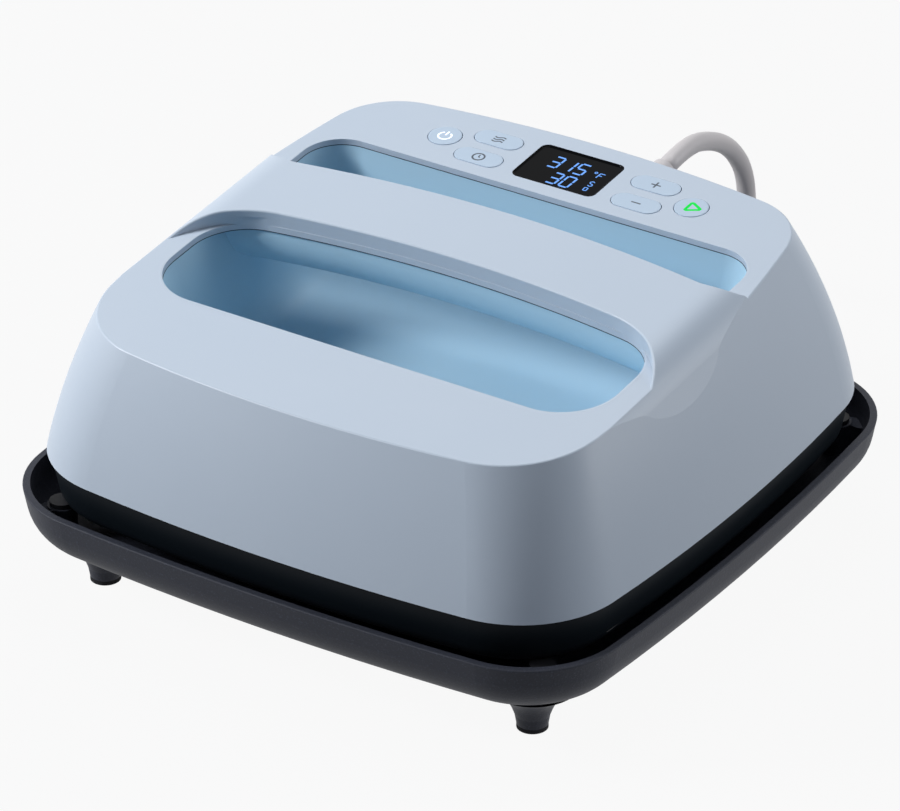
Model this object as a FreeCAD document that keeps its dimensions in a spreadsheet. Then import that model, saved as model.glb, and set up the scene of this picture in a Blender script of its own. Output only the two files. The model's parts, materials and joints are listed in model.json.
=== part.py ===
import FreeCAD, Part
import Sketcher
import math
import os
from types import SimpleNamespace
from FreeCAD import Placement, Rotation, Vector

# Countertop craft heat press resting on its safety base.
# Frame: +Z up, front toward -Y, origin on the surface it stands on, under its centre.

doc = FreeCAD.newDocument("CraftHeatPress")
sheet = doc.addObject("Spreadsheet::Sheet", "Sizes")

ROWS = [
    # safety base
    ("foot_pad_thick", 1.8, "rubber tip under each foot"),
    ("foot_in", 38.4, "foot axis inside the rim, both ways"),
    ("foot_tip", 6.2, "foot radius at the tip"),
    ("foot_root", 13, "foot radius where it leaves the tray"),
    ("foot_waist", 7.9, "foot radius where its flare begins"),
    ("foot_flare", 8, "height of the flare at the top of a foot"),
    ("tray_floor", 19.5, "underside of the tray above the table"),
    ("tray_rim", 44, "top of the rim above the table"),
    ("tray_reach", 6.1, "rim outside the low edge of the shell"),
    ("tray_corner", 42.5, "rim corner radius seen from above"),
    ("tray_bow", 1180, "radius of the slightly bowed rim sides"),
    ("tray_wall", 3.1, "tray wall thickness"),
    ("tray_bend", 20, "radius between tray wall and floor"),
    ("tray_flare", 4.5, "outward lean of the tray wall over its height"),
    ("rim_round", 0.6, "rounding of the outer edge of the rim"),
    ("rib_thick", 2.0, "wall rib thickness"),
    ("rib_reach", 5.0, "how far a wall rib stands in from the wall"),
    ("rib_pitch", 25, "spacing of the wall ribs"),
    ("rib_drop", 3, "rib tops below the corner posts"),
    ("web_wide", 9, "bracket between a corner post and the wall"),
    ("web_dip", 2.4, "hollow in the top of a bracket"),
    ("web_scoop", 10, "radius of that hollow"),
    ("post_in", 20.8, "corner post axis inside the low edge of the shell, both ways"),
    ("post_radius", 6.0, "corner post radius"),
    ("rest_pad_thick", 2.0, "silicone pad on each corner post"),
    ("rest_pad_radius", 5.0, "silicone pad radius"),
    # heat plate and what hangs it
    ("skirt_floor", 38, "underside of the black lower housing above the table"),
    ("plate_half", 114.3, "half of the 9 inch heat plate"),
    ("plate_round", 1.2, "rounding of its lower edge"),
    ("plate_corner", 25, "heat plate corner radius"),
    ("plate_thick", 12, "cast heat plate thickness"),
    ("plate_proud", 2, "how far the heat plate stands below the housing"),
    ("plate_gap", 2, "air gap round the heat plate"),
    ("element_radius", 4, "sheathed heating element radius"),
    ("element_gap", 0.3, "clearance of the element in its groove"),
    ("element_bend", 14, "bend radius of the element"),
    ("element_leg", 22, "inner leg of the element from the middle line"),
    ("element_outer_in", 48.3, "outer leg of the element inside the plate edge"),
    ("element_tail", 16, "cold end of the element from the middle line"),
    ("element_exit_in", 16.3, "where the cold ends turn up, inside the plate edge"),
    ("element_turn", 8, "bend radius where the cold ends turn up"),
    ("element_rise", 5, "cold ends above the heat shield"),
    ("standoff_radius", 5, "ceramic spacer radius"),
    ("standoff_in", 26.3, "spacer axis inside the plate edge"),
    ("plate_screw", 2, "plate screw radius"),
    ("plate_bore", 8, "depth of the plate screw holes"),
    ("shield_thick", 0.8, "steel heat shield thickness"),
    ("blanket_gap", 0.6, "air above and below the insulation blanket"),
    ("blanket_in", 4, "blanket edge inside the plate edge"),
    ("cutout_radius", 6.4, "thermal cutout radius"),
    ("cutout_high", 5.5, "thermal cutout height"),
    ("sensor_radius", 5, "temperature sensor radius"),
    ("sensor_thick", 1.6, "temperature sensor foot"),
    # black lower housing
    ("shell_edge", 58, "low edge of the blue shell above the table"),
    ("skirt_step", 1.3, "how far the black housing is set in under the shell"),
    ("skirt_lean", 3.4, "inward lean of the black housing over its height"),
    ("skirt_wall", 3, "black housing wall"),
    ("skirt_bend", 6, "rounding of its lower edge"),
    ("flange_thick", 2.5, "inner flange that carries the shield"),
    # blue top shell
    ("shell_reach", 18, "low edge of the shell outside the heat plate"),
    ("shell_wall", 2.6, "moulded wall"),
    ("wall_lean", 0.16, "wall slope at the low edge"),
    ("wall_arch", 264, "radius of the convex wall"),
    ("front_share", 1.08, "front wall inset against the side wall"),
    ("rear_share", 1.15, "rear wall inset against the side wall"),
    ("corner_low", 44.6, "corner radius at the low edge"),
    ("corner_front_loss", 0.05, "front corner radius lost per mm of height"),
    ("corner_rear_loss", 0.2, "rear corner radius lost per mm of height"),
    ("bow_low", 850, "bow radius of the sides at the low edge"),
    ("bow_loss", 4.3, "bow radius lost per mm of height"),
    ("top_height", 123.2, "pad plane above the table at the middle"),
    ("top_tilt", 4.69, "slope of the pad plane in degrees, rear higher"),
    ("crown_rise", 6.5, "handle top above the pad plane"),
    ("crest_round", 0.8, "rounding of the edges round the top faces"),
    ("shoulder", 20, "rounding of the handle into the side walls"),
    # handle and hand well
    ("handle_line", 17.25, "handle middle line behind the centre"),
    ("handle_half", 19.25, "half of the handle width"),
    ("handle_bow", 550, "bow radius of the handle, middle rearward"),
    ("handle_sink", 6, "centre of the round underside below the pad plane"),
    ("handle_wall", 2.5, "wall of the handle underside"),
    ("dish_in", 19.3, "recesses in the crown inside the low edge of the shell"),
    ("dish_corner", 42, "front recess corner radius at the handle"),
    ("panel_corner", 17, "rear recess corner radius at the handle"),
    ("well_side", 29.8, "hand well inside the low edge of the shell, at the sides"),
    ("well_ahead", 62.8, "hand well inside the low edge, at the front"),
    ("well_behind", 69, "finger slot inside the low edge, at the rear"),
    ("well_corner", 24, "front well corner radius"),
    ("slot_corner", 17, "finger slot corner radius"),
    ("well_deep", 50, "hand well depth below the pad plane"),
    ("well_draft", 8, "how much the well narrows per side to its floor"),
    ("well_bend", 14, "rounding between well wall and floor"),
    ("liner_wall", 2.4, "hand well liner wall"),
    ("fit_gap", 0.3, "clearance between fitted mouldings"),
    # fixing bosses
    ("boss_radius", 4, "housing boss radius"),
    ("boss_in", 11, "boss axis inside the shell's low edge"),
    ("boss_side", 60, "side bosses either side of the middle"),
    ("boss_end", 50, "front and rear bosses either side of the middle"),
    ("case_screw", 1.8, "housing screw radius"),
    ("case_screw_long", 16, "housing screw length"),
    ("screw_head", 3.4, "housing screw head radius"),
    ("screw_head_high", 2.3, "housing screw head height"),
    # control panel
    ("key_in", 49.1, "middle line of the keys inside the low edge, at the rear"),
    ("key_row", 7.7, "pill key rows either side of that line"),
    ("pill_across", 37.1, "pill key column from the middle"),
    ("round_across", 58.1, "round key from the middle"),
    ("pill_wide", 21.5, "pill key width"),
    ("pill_deep", 10, "pill key depth"),
    ("round_wide", 13.8, "round key diameter"),
    ("key_gap", 0.35, "gap round each key"),
    ("key_proud", 0.2, "key face above the panel"),
    ("key_flange", 1.2, "key flange reach and thickness"),
    ("key_play", 0.15, "play between key flange and panel"),
    ("key_travel", 0.8, "key travel"),
    ("stem_radius", 2, "key stem radius"),
    ("display_wide", 38, "display window width"),
    ("display_deep", 26.5, "display window depth"),
    ("display_behind", 1, "display middle behind the line of the keys"),
    ("display_gap", 0.2, "gap round the display window"),
    ("display_corner", 3, "display window corner radius"),
    ("display_sink", 0.6, "display window below the panel"),
    ("display_lip", 2, "display window flange reach"),
    ("board_depth", 13, "control board top below the pad plane"),
    ("board_thick", 1.6, "circuit board thickness"),
    ("control_wide", 136, "control board width"),
    ("control_deep", 34, "control board depth"),
    ("control_behind", 1.3, "board middle behind the line of the keys"),
    ("control_boss_in", 4, "board screws inside the ends of the board"),
    ("control_boss_radius", 3, "board boss radius"),
    ("board_screw", 1.2, "board screw radius"),
    ("control_boss_row", 13.2, "control board screw rows from its line"),
    ("carrier_thick", 1.4, "key carrier thickness"),
    ("switch_wide", 6.2, "tact switch body"),
    ("switch_high", 3.5, "tact switch body height"),
    ("plunger_radius", 1.7, "tact switch plunger radius"),
    # power electronics
    ("power_wide", 150, "power board width"),
    ("power_deep", 38, "power board depth"),
    ("power_in", 39.3, "power board middle line inside the low edge, at the rear"),
    ("pillar_in", 6, "board pillars inside the ends of the board"),
    ("pillar_side", 5, "board pillars inside its long sides"),
    ("pillar_radius", 3, "board pillar radius"),
    ("power_lift", 7, "power board above the shield"),
    # cord
    ("cord_radius", 4, "mains cord radius"),
    ("cord_height", 97, "cord exit above the table"),
    ("cord_across", 5, "cord exit right of the middle"),
    ("cord_rake", 12, "upward angle of the cord exit in degrees"),
    ("relief_long", 30, "strain relief outside the wall"),
    ("relief_root", 7.5, "strain relief radius at the wall"),
    ("relief_seat", 1.25, "flanges of the strain relief off the leaning wall"),
    ("coil_middle", 46, "radius at the middle of the coil's turns"),
    ("coil_pitch", 8.6, "turn to turn spacing"),
    ("coil_turns", 2.5, "turns in the lower layer"),
    ("coil_upper", 2.25, "turns in the upper layer"),
    ("coil_across", -97, "coil centre, left of the middle"),
    ("coil_behind", 84.6, "coil centre behind the rim"),
    ("coil_tail", 45, "straight run from the coil to the plug"),
    ("coil_lead_in", 20, "straight start of the coiled length"),
    ("coil_turn_in", 28, "from there back to the last bend of the lead"),
    ("plug_long", 38, "plug body length"),
    ("plug_wide", 27, "plug body width"),
    ("plug_high", 25.2, "plug body height, so it lies on the floor"),
]


class Length:
    """A size that carries its number and the sheet formula that gives it."""

    def __init__(self, number, formula):
        self.number = float(number)
        self.formula = formula

    def __float__(self):
        return self.number

    def __add__(self, other):
        return Length(self.number + float(other), f"({self.formula} + {formula(other)})")

    def __sub__(self, other):
        return Length(self.number - float(other), f"({self.formula} - {formula(other)})")

    def __mul__(self, other):
        return Length(self.number * float(other), f"({self.formula} * {formula(other)})")

    def __truediv__(self, other):
        return Length(self.number / float(other), f"({self.formula} / {formula(other)})")

    def __neg__(self):
        return Length(-self.number, f"(0 - {self.formula})")


def formula(value):
    return value.formula if isinstance(value, Length) else repr(float(value))


def fill_sheet():
    found = {}
    for row, (alias, number, meaning) in enumerate(ROWS, start=1):
        sheet.set(f"A{row}", meaning)
        sheet.set(f"B{row}", str(number))
        sheet.setAlias(f"B{row}", alias)
    doc.recompute()
    for alias, number, meaning in ROWS:
        found[alias] = Length(sheet.get(alias), f"Sizes.{alias}")
    return SimpleNamespace(**found)


s = fill_sheet()
nodes = []

# Places that follow from the heat plate outwards

s.shell_half = s.plate_half + s.shell_reach
s.tray_half = s.shell_half + s.tray_reach
s.foot_spread = s.tray_half - s.foot_in
s.post_spread = s.shell_half - s.post_in
s.element_outer = s.plate_half - s.element_outer_in
s.element_exit = s.plate_half - s.element_exit_in
s.standoff_spread = s.plate_half - s.standoff_in
s.dish_half = s.shell_half - s.dish_in
s.well_half = s.shell_half - s.well_side
s.well_front = s.shell_half - s.well_ahead
s.well_rear = s.shell_half - s.well_behind
s.key_line = s.shell_half - s.key_in
s.display_line = s.key_line + s.display_behind
s.control_line = s.key_line + s.control_behind
s.control_boss = s.control_wide / 2 - s.control_boss_in
s.power_line = s.shell_half - s.power_in
s.coil_back = s.tray_half + s.coil_behind


def keep(label, thing):
    """List an object as a finished piece under its own name."""
    thing.Label = label
    nodes.append(thing)
    return thing


def solid(label, shape, place=None):
    """A piece whose form is set directly."""
    piece = doc.addObject("Part::Feature", label)
    piece.Shape = shape
    if place is not None:
        piece.Placement = place
    return keep(label, piece)


# Heights and frames worked out from the sizes

plate_floor = s.skirt_floor - s.plate_proud
plate_top = plate_floor + s.plate_thick
shield_floor = s.shell_edge - s.shield_thick
tilt = float(s.top_tilt)
top_place = Placement(Vector(0, 0, float(s.top_height)), Rotation(Vector(1, 0, 0), tilt))
lean_back = math.tan(math.radians(tilt))


# Outline helpers

def meet(a, b, reach_a, reach_b, toward):
    """The point at given distances from two centres, on the side of a third point."""
    gap = b - a
    span = gap.Length
    along = (reach_a ** 2 - reach_b ** 2 + span ** 2) / (2 * span)
    across = math.sqrt(reach_a ** 2 - along ** 2)
    foot = a + gap * (along / span)
    sideways = Vector(-gap.y, gap.x, 0) * (across / span)
    first, second = foot + sideways, foot - sideways
    return first if (first - toward).Length < (second - toward).Length else second


def toward(centre, point, reach):
    return centre + (point - centre).normalize() * reach


def corner_arc(centre, start, end, radius):
    middle = (start - centre) + (end - centre)
    return Part.Arc(start, centre + middle.normalize() * radius, end).toShape()


def bowed_wire(half, front, rear, corner_front, corner_rear, bow, z):
    """A rounded rectangle whose four sides bow gently outwards."""
    centres = [Vector(0, bow - front, z), Vector(half - bow, 0, z),
               Vector(0, rear - bow, z), Vector(bow - half, 0, z)]
    peaks = [Vector(0, -front, z), Vector(half, 0, z), Vector(0, rear, z), Vector(-half, 0, z)]
    marks = [Vector(half, -front, z), Vector(half, rear, z),
             Vector(-half, rear, z), Vector(-half, -front, z)]
    radii = [corner_front, corner_rear, corner_rear, corner_front]
    ends, starts, rounds = [], [], []
    for i in range(4):
        here, after, radius = centres[i], centres[(i + 1) % 4], radii[i]
        round_centre = meet(here, after, bow - radius, bow - radius, marks[i])
        leave = toward(here, round_centre, bow)
        arrive = toward(after, round_centre, bow)
        ends.append(leave)
        starts.append(arrive)
        rounds.append(corner_arc(round_centre, leave, arrive, radius))
    edges = []
    for i in range(4):
        edges.append(Part.Arc(starts[i - 1], peaks[i], ends[i]).toShape())
        edges.append(rounds[i])
    return Part.Wire(edges)


def square_wire(half_x, near_y, far_y, corner_near, corner_far, z):
    """A rounded rectangle with straight sides."""
    spots = [(half_x, near_y, corner_near, -1, 1), (half_x, far_y, corner_far, -1, -1),
             (-half_x, far_y, corner_far, 1, -1), (-half_x, near_y, corner_near, 1, 1)]
    edges, first, last = [], None, None
    for i, (x, y, radius, in_x, in_y) in enumerate(spots):
        centre = Vector(x + in_x * radius, y + in_y * radius, z)
        on_end = Vector(centre.x, y, z)
        on_side = Vector(x, centre.y, z)
        start, end = (on_end, on_side) if i % 2 == 0 else (on_side, on_end)
        if last is not None:
            edges.append(Part.LineSegment(last, start).toShape())
        else:
            first = start
        edges.append(corner_arc(centre, start, end, radius))
        last = end
    edges.append(Part.LineSegment(last, first).toShape())
    return Part.Wire(edges)


def prism(wire, rise):
    return Part.Face(wire).extrude(Vector(0, 0, rise))


def loft(wires):
    return Part.makeLoft(wires, True, False)


def level_edges(shape, z):
    """The edges of a shape that lie wholly at one height."""
    box_edges = [e for e in shape.Edges if abs(e.BoundBox.ZMin - z) < 1e-4
                 and abs(e.BoundBox.ZMax - z) < 1e-4]
    return box_edges


def rounded_path(points, radii):
    """Straight runs through points, joined by tangent arcs."""
    edges = []
    start = points[0]
    for i in range(1, len(points) - 1):
        before, here, after = points[i - 1], points[i], points[i + 1]
        into, out = (here - before).normalize(), (after - here).normalize()
        turn = into.getAngle(out)
        cut = radii[i - 1] * math.tan(turn / 2)
        leave, arrive = here - into * cut, here + out * cut
        middle_way = (out - into).normalize()
        centre = here + middle_way * (radii[i - 1] / math.cos(turn / 2))
        edges.append(Part.LineSegment(start, leave).toShape())
        edges.append(Part.Arc(leave, centre - middle_way * radii[i - 1], arrive).toShape())
        start = arrive
    edges.append(Part.LineSegment(start, points[-1]).toShape())
    return Part.Wire(edges)


def tube(path, radius):
    start = path.OrderedEdges[0]
    centre = start.valueAt(start.FirstParameter)
    heading = start.tangentAt(start.FirstParameter)
    ring = Part.Wire(Part.makeCircle(radius, centre, heading))
    return path.makePipeShell([ring], True, False)


# Sketch helpers for plates, boards and caps

def sketch_on(body, name, height):
    sketch = body.newObject("Sketcher::SketchObject", name)
    plane = [f for f in body.Origin.OriginFeatures if f.Role == "XY_Plane"][0]
    sketch.AttachmentSupport = (plane, [""])
    sketch.MapMode = "FlatFace"
    sketch.setExpression("AttachmentOffset.Base.z", formula(height))
    return sketch


def draw_round_rectangle(sketch, wide, deep, corner):
    """Four lines and four tangent arcs about the origin, held by three sizes."""
    w, d, r = float(wide) / 2, float(deep) / 2, float(corner)
    axis = Vector(0, 0, 1)
    turns = [(-w + r, -d + r, 180), (w - r, -d + r, 270), (w - r, d - r, 0), (-w + r, d - r, 90)]
    for x, y, begin in turns:
        circle = Part.Circle(Vector(x, y, 0), axis, r)
        sketch.addGeometry(Part.ArcOfCircle(circle, math.radians(begin), math.radians(begin + 90)))
    corners = [((-w + r, -d), (w - r, -d)), ((w, -d + r), (w, d - r)),
               ((w - r, d), (-w + r, d)), ((-w, d - r), (-w, -d + r))]
    for (x0, y0), (x1, y1) in corners:
        sketch.addGeometry(Part.LineSegment(Vector(x0, y0, 0), Vector(x1, y1, 0)))
    add = sketch.addConstraint
    for i in range(4):
        add(Sketcher.Constraint("Tangent", i, 2, 4 + i, 1))
        add(Sketcher.Constraint("Tangent", 4 + i, 2, (i + 1) % 4, 1))
    for i in range(3):
        add(Sketcher.Constraint("Equal", i, i + 1))
    add(Sketcher.Constraint("Horizontal", 4))
    add(Sketcher.Constraint("Vertical", 5))
    add(Sketcher.Constraint("Symmetric", 0, 3, 2, 3, -1, 1))
    width = add(Sketcher.Constraint("DistanceX", 7, 1, 5, 1, 2 * w))
    depth = add(Sketcher.Constraint("DistanceY", 4, 1, 6, 1, 2 * d))
    round_off = add(Sketcher.Constraint("Radius", 0, r))
    sketch.setExpression(f"Constraints[{width}]", formula(wide))
    sketch.setExpression(f"Constraints[{depth}]", formula(deep))
    sketch.setExpression(f"Constraints[{round_off}]", formula(corner))


def draw_circle(sketch, radius, x=0, y=0):
    """One hole or disc, placed by two distances from the origin."""
    at = Vector(float(x), float(y), 0)
    index = sketch.addGeometry(Part.Circle(at, Vector(0, 0, 1), float(radius)))
    add = sketch.addConstraint
    size = add(Sketcher.Constraint("Radius", index, float(radius)))
    sketch.setExpression(f"Constraints[{size}]", formula(radius))
    across = add(Sketcher.Constraint("DistanceX", -1, 1, index, 3, at.x))
    along = add(Sketcher.Constraint("DistanceY", -1, 1, index, 3, at.y))
    sketch.setExpression(f"Constraints[{across}]", formula(x))
    sketch.setExpression(f"Constraints[{along}]", formula(y))


def pad(body, name, sketch, length):
    feature = body.newObject("PartDesign::Pad", name)
    feature.Profile = sketch
    feature.setExpression("Length", formula(length))
    body.Tip = feature
    return feature


def pocket_through(body, name, sketch):
    feature = body.newObject("PartDesign::Pocket", name)
    feature.Profile = sketch
    feature.Type = "ThroughAll"
    feature.Midplane = True
    body.Tip = feature
    return feature


def plate_body(name, wide, deep, corner, thick, height, holes=(), at=None):
    """A flat rounded plate with round holes: boards, blankets, caps."""
    body = doc.addObject("PartDesign::Body", name)
    outline = sketch_on(body, f"{name}_outline", height)
    draw_round_rectangle(outline, wide, deep, corner)
    pad(body, f"{name}_pad", outline, thick)
    if holes:
        bores = sketch_on(body, f"{name}_holes", height)
        for radius, x, y in holes:
            draw_circle(bores, radius, x, y)
        doc.recompute()
        pocket_through(body, f"{name}_bores", bores)
    if at is not None:
        body.Placement = at
    return body


def copies(label, shape, places):
    """One node holding the same solid at several places."""
    found = []
    for place in places:
        one = shape.copy()
        one.Placement = place.multiply(shape.Placement)
        found.append(one)
    return solid(label, Part.makeCompound(found))


def at(x, y, z=0):
    return Placement(Vector(float(x), float(y), float(z)), Rotation())


def four(spread):
    d = float(spread)
    return [(d, d), (-d, d), (-d, -d), (d, -d)]


# Forms shared by the shell and what fits in it

def wall_inset(rise):
    return rise * float(s.wall_lean) + rise * rise / (2 * float(s.wall_arch))


def shell_wire(rise, skin):
    """The shell's outline at a height over its low edge, a skin inside its outer face."""
    inset = wall_inset(rise)
    low = float(s.shell_half)
    corner_front = float(s.corner_low) - rise * float(s.corner_front_loss) - skin
    corner_rear = float(s.corner_low) - rise * float(s.corner_rear_loss) - skin
    bow = float(s.bow_low) - rise * float(s.bow_loss) - skin
    return bowed_wire(low - inset - skin, low - inset * float(s.front_share) - skin,
                      low - inset * float(s.rear_share) - skin,
                      corner_front, corner_rear, bow, float(s.shell_edge) + rise)


top_rise = float(s.top_height - s.shell_edge) + lean_back * float(s.shell_half) + float(s.crown_rise) + 2
section_count = 5


def shell_body(skin, start=0.0):
    step = (top_rise - start) / (section_count - 1)
    return loft([shell_wire(start + i * step, skin) for i in range(section_count)])


def crown_prism(skin):
    """Everything under the handle's crown, with rounded shoulders along both sides."""
    peak = float(s.crown_rise)
    rise = float(s.top_height - s.shell_edge) + lean_back * float(s.handle_line) + peak
    slope = float(s.wall_lean) + rise / float(s.wall_arch)
    half = float(s.shell_half) - wall_inset(rise) - skin * math.sqrt(1 + slope * slope)
    half += skin * slope
    peak -= skin
    deep = 80
    low_half = half + slope * (peak + deep)
    reach = 2 * float(s.shell_half)
    corner = Vector(half, 0, peak)
    down = Vector(slope, 0, -1).normalize()
    radius = float(s.shoulder) - skin
    between = down.getAngle(Vector(-1, 0, 0))
    cut = radius / math.tan(between / 2)
    low, high = corner + down * cut, corner + Vector(-cut, 0, 0)
    inward = (down + Vector(-1, 0, 0)).normalize()
    middle = corner + inward * (radius / math.sin(between / 2) - radius)
    right = Part.Arc(low, middle, high).toShape()
    left = Part.Arc(Vector(-high.x, 0, high.z), Vector(-middle.x, 0, middle.z),
                    Vector(-low.x, 0, low.z)).toShape()
    foot_right, foot_left = Vector(low_half, 0, -deep), Vector(-low_half, 0, -deep)
    edges = [Part.LineSegment(foot_right, low).toShape(), right,
             Part.LineSegment(high, Vector(-high.x, 0, high.z)).toShape(), left,
             Part.LineSegment(Vector(-low.x, 0, low.z), foot_left).toShape(),
             Part.LineSegment(foot_left, foot_right).toShape()]
    shape = Part.Face(Part.Wire(edges))
    shape.translate(Vector(0, -reach, 0))
    shape = shape.extrude(Vector(0, 2 * reach, 0))
    shape.Placement = top_place
    return shape


def bay_wire(side, half, corner, far, far_corner, shift, z):
    """A bay in front of (side -1) or behind (side 1) the bowed handle.

    shift moves its bowed edge toward the handle's middle line."""
    axis = Vector(0, float(s.handle_line) - float(s.handle_bow), z)
    reach = float(s.handle_bow) + side * (float(s.handle_half) - shift)
    corner_reach = reach + side * corner
    across = half - corner
    centre = axis + Vector(across, math.sqrt(corner_reach ** 2 - across ** 2), 0)
    on_arc = toward(axis, centre, reach)
    on_side = Vector(half, centre.y, z)
    far_centre = Vector(half - far_corner, far - side * far_corner, z)
    far_side, far_end = Vector(half, far_centre.y, z), Vector(far_centre.x, far, z)

    def mirror(point):
        return Vector(-point.x, point.y, point.z)

    edges = [corner_arc(centre, on_arc, on_side, corner),
             Part.LineSegment(on_side, far_side).toShape(),
             corner_arc(far_centre, far_side, far_end, far_corner),
             Part.LineSegment(far_end, mirror(far_end)).toShape(),
             corner_arc(mirror(far_centre), mirror(far_end), mirror(far_side), far_corner),
             Part.LineSegment(mirror(far_side), mirror(on_side)).toShape(),
             corner_arc(mirror(centre), mirror(on_side), mirror(on_arc), corner),
             Part.Arc(mirror(on_arc), axis + Vector(0, reach, 0), on_arc).toShape()]
    return Part.Wire(edges)


def dish(side, skin):
    """The recess before or behind the handle, grown by a skin on all its faces."""
    corner = float(s.dish_corner if side < 0 else s.panel_corner) + skin
    wire = bay_wire(side, float(s.dish_half) + skin, corner, side * 1.5 * float(s.shell_half),
                    float(s.well_corner), skin, -skin)
    shape = prism(wire, 3 * float(s.crown_rise) + skin)
    shape.Placement = top_place
    return shape


def shell_form(skin, start=0.0):
    """The shell's outer form, or with a skin its hollow."""
    form = shell_body(skin, start).common(crown_prism(skin))
    return form.cut(dish(-1, skin)).cut(dish(1, skin))


def round_crests(form):
    """Round the handle's crests and the outer creases of the top faces, not the inner creases."""
    into_top = top_place.inverse()
    level = 0.01
    edges = []
    for edge in form.Edges:
        span = edge.LastParameter - edge.FirstParameter
        heights = [into_top.multVec(edge.valueAt(edge.FirstParameter + span * k / 4)).z for k in range(5)]
        curved_up = max(heights) > level and not isinstance(edge.Curve, Part.Line)
        outer_crease = max(heights) < level and not isinstance(edge.Curve, Part.Circle)
        if min(heights) > -level and (curved_up or outer_crease):
            edges.append(edge)
    return form.makeFillet(float(s.crest_round), edges)


def opening(side):
    far = -float(s.well_front) if side < 0 else float(s.well_rear)
    corner = float(s.well_corner) if side < 0 else float(s.slot_corner) / 2
    far_corner = float(s.well_corner if side < 0 else s.slot_corner)
    wire = bay_wire(side, float(s.well_half), corner, far, far_corner,
                    -float(s.fit_gap), -2 * float(s.shell_wall))
    shape = prism(wire, 2 * float(s.shell_wall) + float(s.crown_rise) / 2)
    shape.Placement = top_place
    return shape


def key_block(wide, deep, x, y, grow, low, high):
    """A pill or round block on the panel, grown all round by a skin."""
    w, d = float(wide) + 2 * grow, float(deep) + 2 * grow
    if w > d + 0.1:
        end = d / 2 - 0.01
        block = prism(square_wire(w / 2, -d / 2, d / 2, end, end, low), high - low)
    else:
        block = Part.makeCylinder(d / 2, high - low, Vector(0, 0, low))
    block.translate(Vector(x, y, 0))
    block.Placement = top_place.multiply(block.Placement)
    return block


row_near, row_far = float(s.key_line - s.key_row), float(s.key_line + s.key_row)
pill_x, round_x = float(s.pill_across), float(s.round_across)
KEYS = [("power_button", s.round_wide, s.round_wide, -round_x, float(s.key_line)),
        ("heat_button", s.pill_wide, s.pill_deep, -pill_x, row_far),
        ("timer_button", s.pill_wide, s.pill_deep, -pill_x, row_near),
        ("plus_button", s.pill_wide, s.pill_deep, pill_x, row_far),
        ("minus_button", s.pill_wide, s.pill_deep, pill_x, row_near),
        ("start_button", s.round_wide, s.round_wide, round_x, float(s.key_line))]

boss_line = float(s.shell_half - s.boss_in)
boss_side, boss_end = float(s.boss_side), float(s.boss_end)
BOSSES = [(boss_line, boss_side), (boss_line, -boss_side), (-boss_line, boss_side),
          (-boss_line, -boss_side), (boss_end, boss_line), (-boss_end, boss_line),
          (boss_end, -boss_line), (-boss_end, -boss_line)]
control_line = float(s.control_line)
CONTROL_FIXES = [(x, control_line + y) for x in (-float(s.control_boss), float(s.control_boss))
                 for y in (-float(s.control_boss_row), float(s.control_boss_row))]


# Safety base

def foot_body():
    """A tapered foot that flares into the tray's underside."""
    tip, waist, root = float(s.foot_tip), float(s.foot_waist), float(s.foot_root)
    low, top = float(s.foot_pad_thick), float(s.tray_floor + s.tray_wall / 2)
    neck = float(s.tray_floor - s.foot_flare)
    bend = Vector(waist + (root - waist) * 0.27, 0, neck + (top - neck) * 0.6)
    edges = [Part.LineSegment(Vector(0, 0, low), Vector(tip, 0, low)).toShape(),
             Part.LineSegment(Vector(tip, 0, low), Vector(waist, 0, neck)).toShape(),
             Part.Arc(Vector(waist, 0, neck), bend, Vector(root, 0, top)).toShape(),
             Part.LineSegment(Vector(root, 0, top), Vector(0, 0, top)).toShape(),
             Part.LineSegment(Vector(0, 0, top), Vector(0, 0, low)).toShape()]
    return Part.Face(Part.Wire(edges)).revolve(Vector(0, 0, 0), Vector(0, 0, 1), 360)


def tray_bracket(x, y, post_top):
    """A corner post with a hollow topped web that runs out to the tray wall."""
    radius, half_web = float(s.post_radius), float(s.web_wide) / 2
    floor, scoop = float(s.tray_floor), float(s.web_scoop)
    post = Part.makeCylinder(radius, post_top - floor)
    web = Part.makeBox(float(s.tray_half), 2 * half_web, post_top - floor, Vector(0, -half_web, 0))
    hollow = Part.makeCylinder(scoop, 4 * half_web,
                               Vector(radius + scoop / 2, -2 * half_web,
                                      post_top - floor + scoop - float(s.web_dip)), Vector(0, 1, 0))
    bracket = post.fuse(web.cut(hollow))
    bracket.rotate(Vector(0, 0, 0), Vector(0, 0, 1), math.degrees(math.atan2(y, x)))
    bracket.translate(Vector(x, y, floor))
    return bracket


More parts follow.
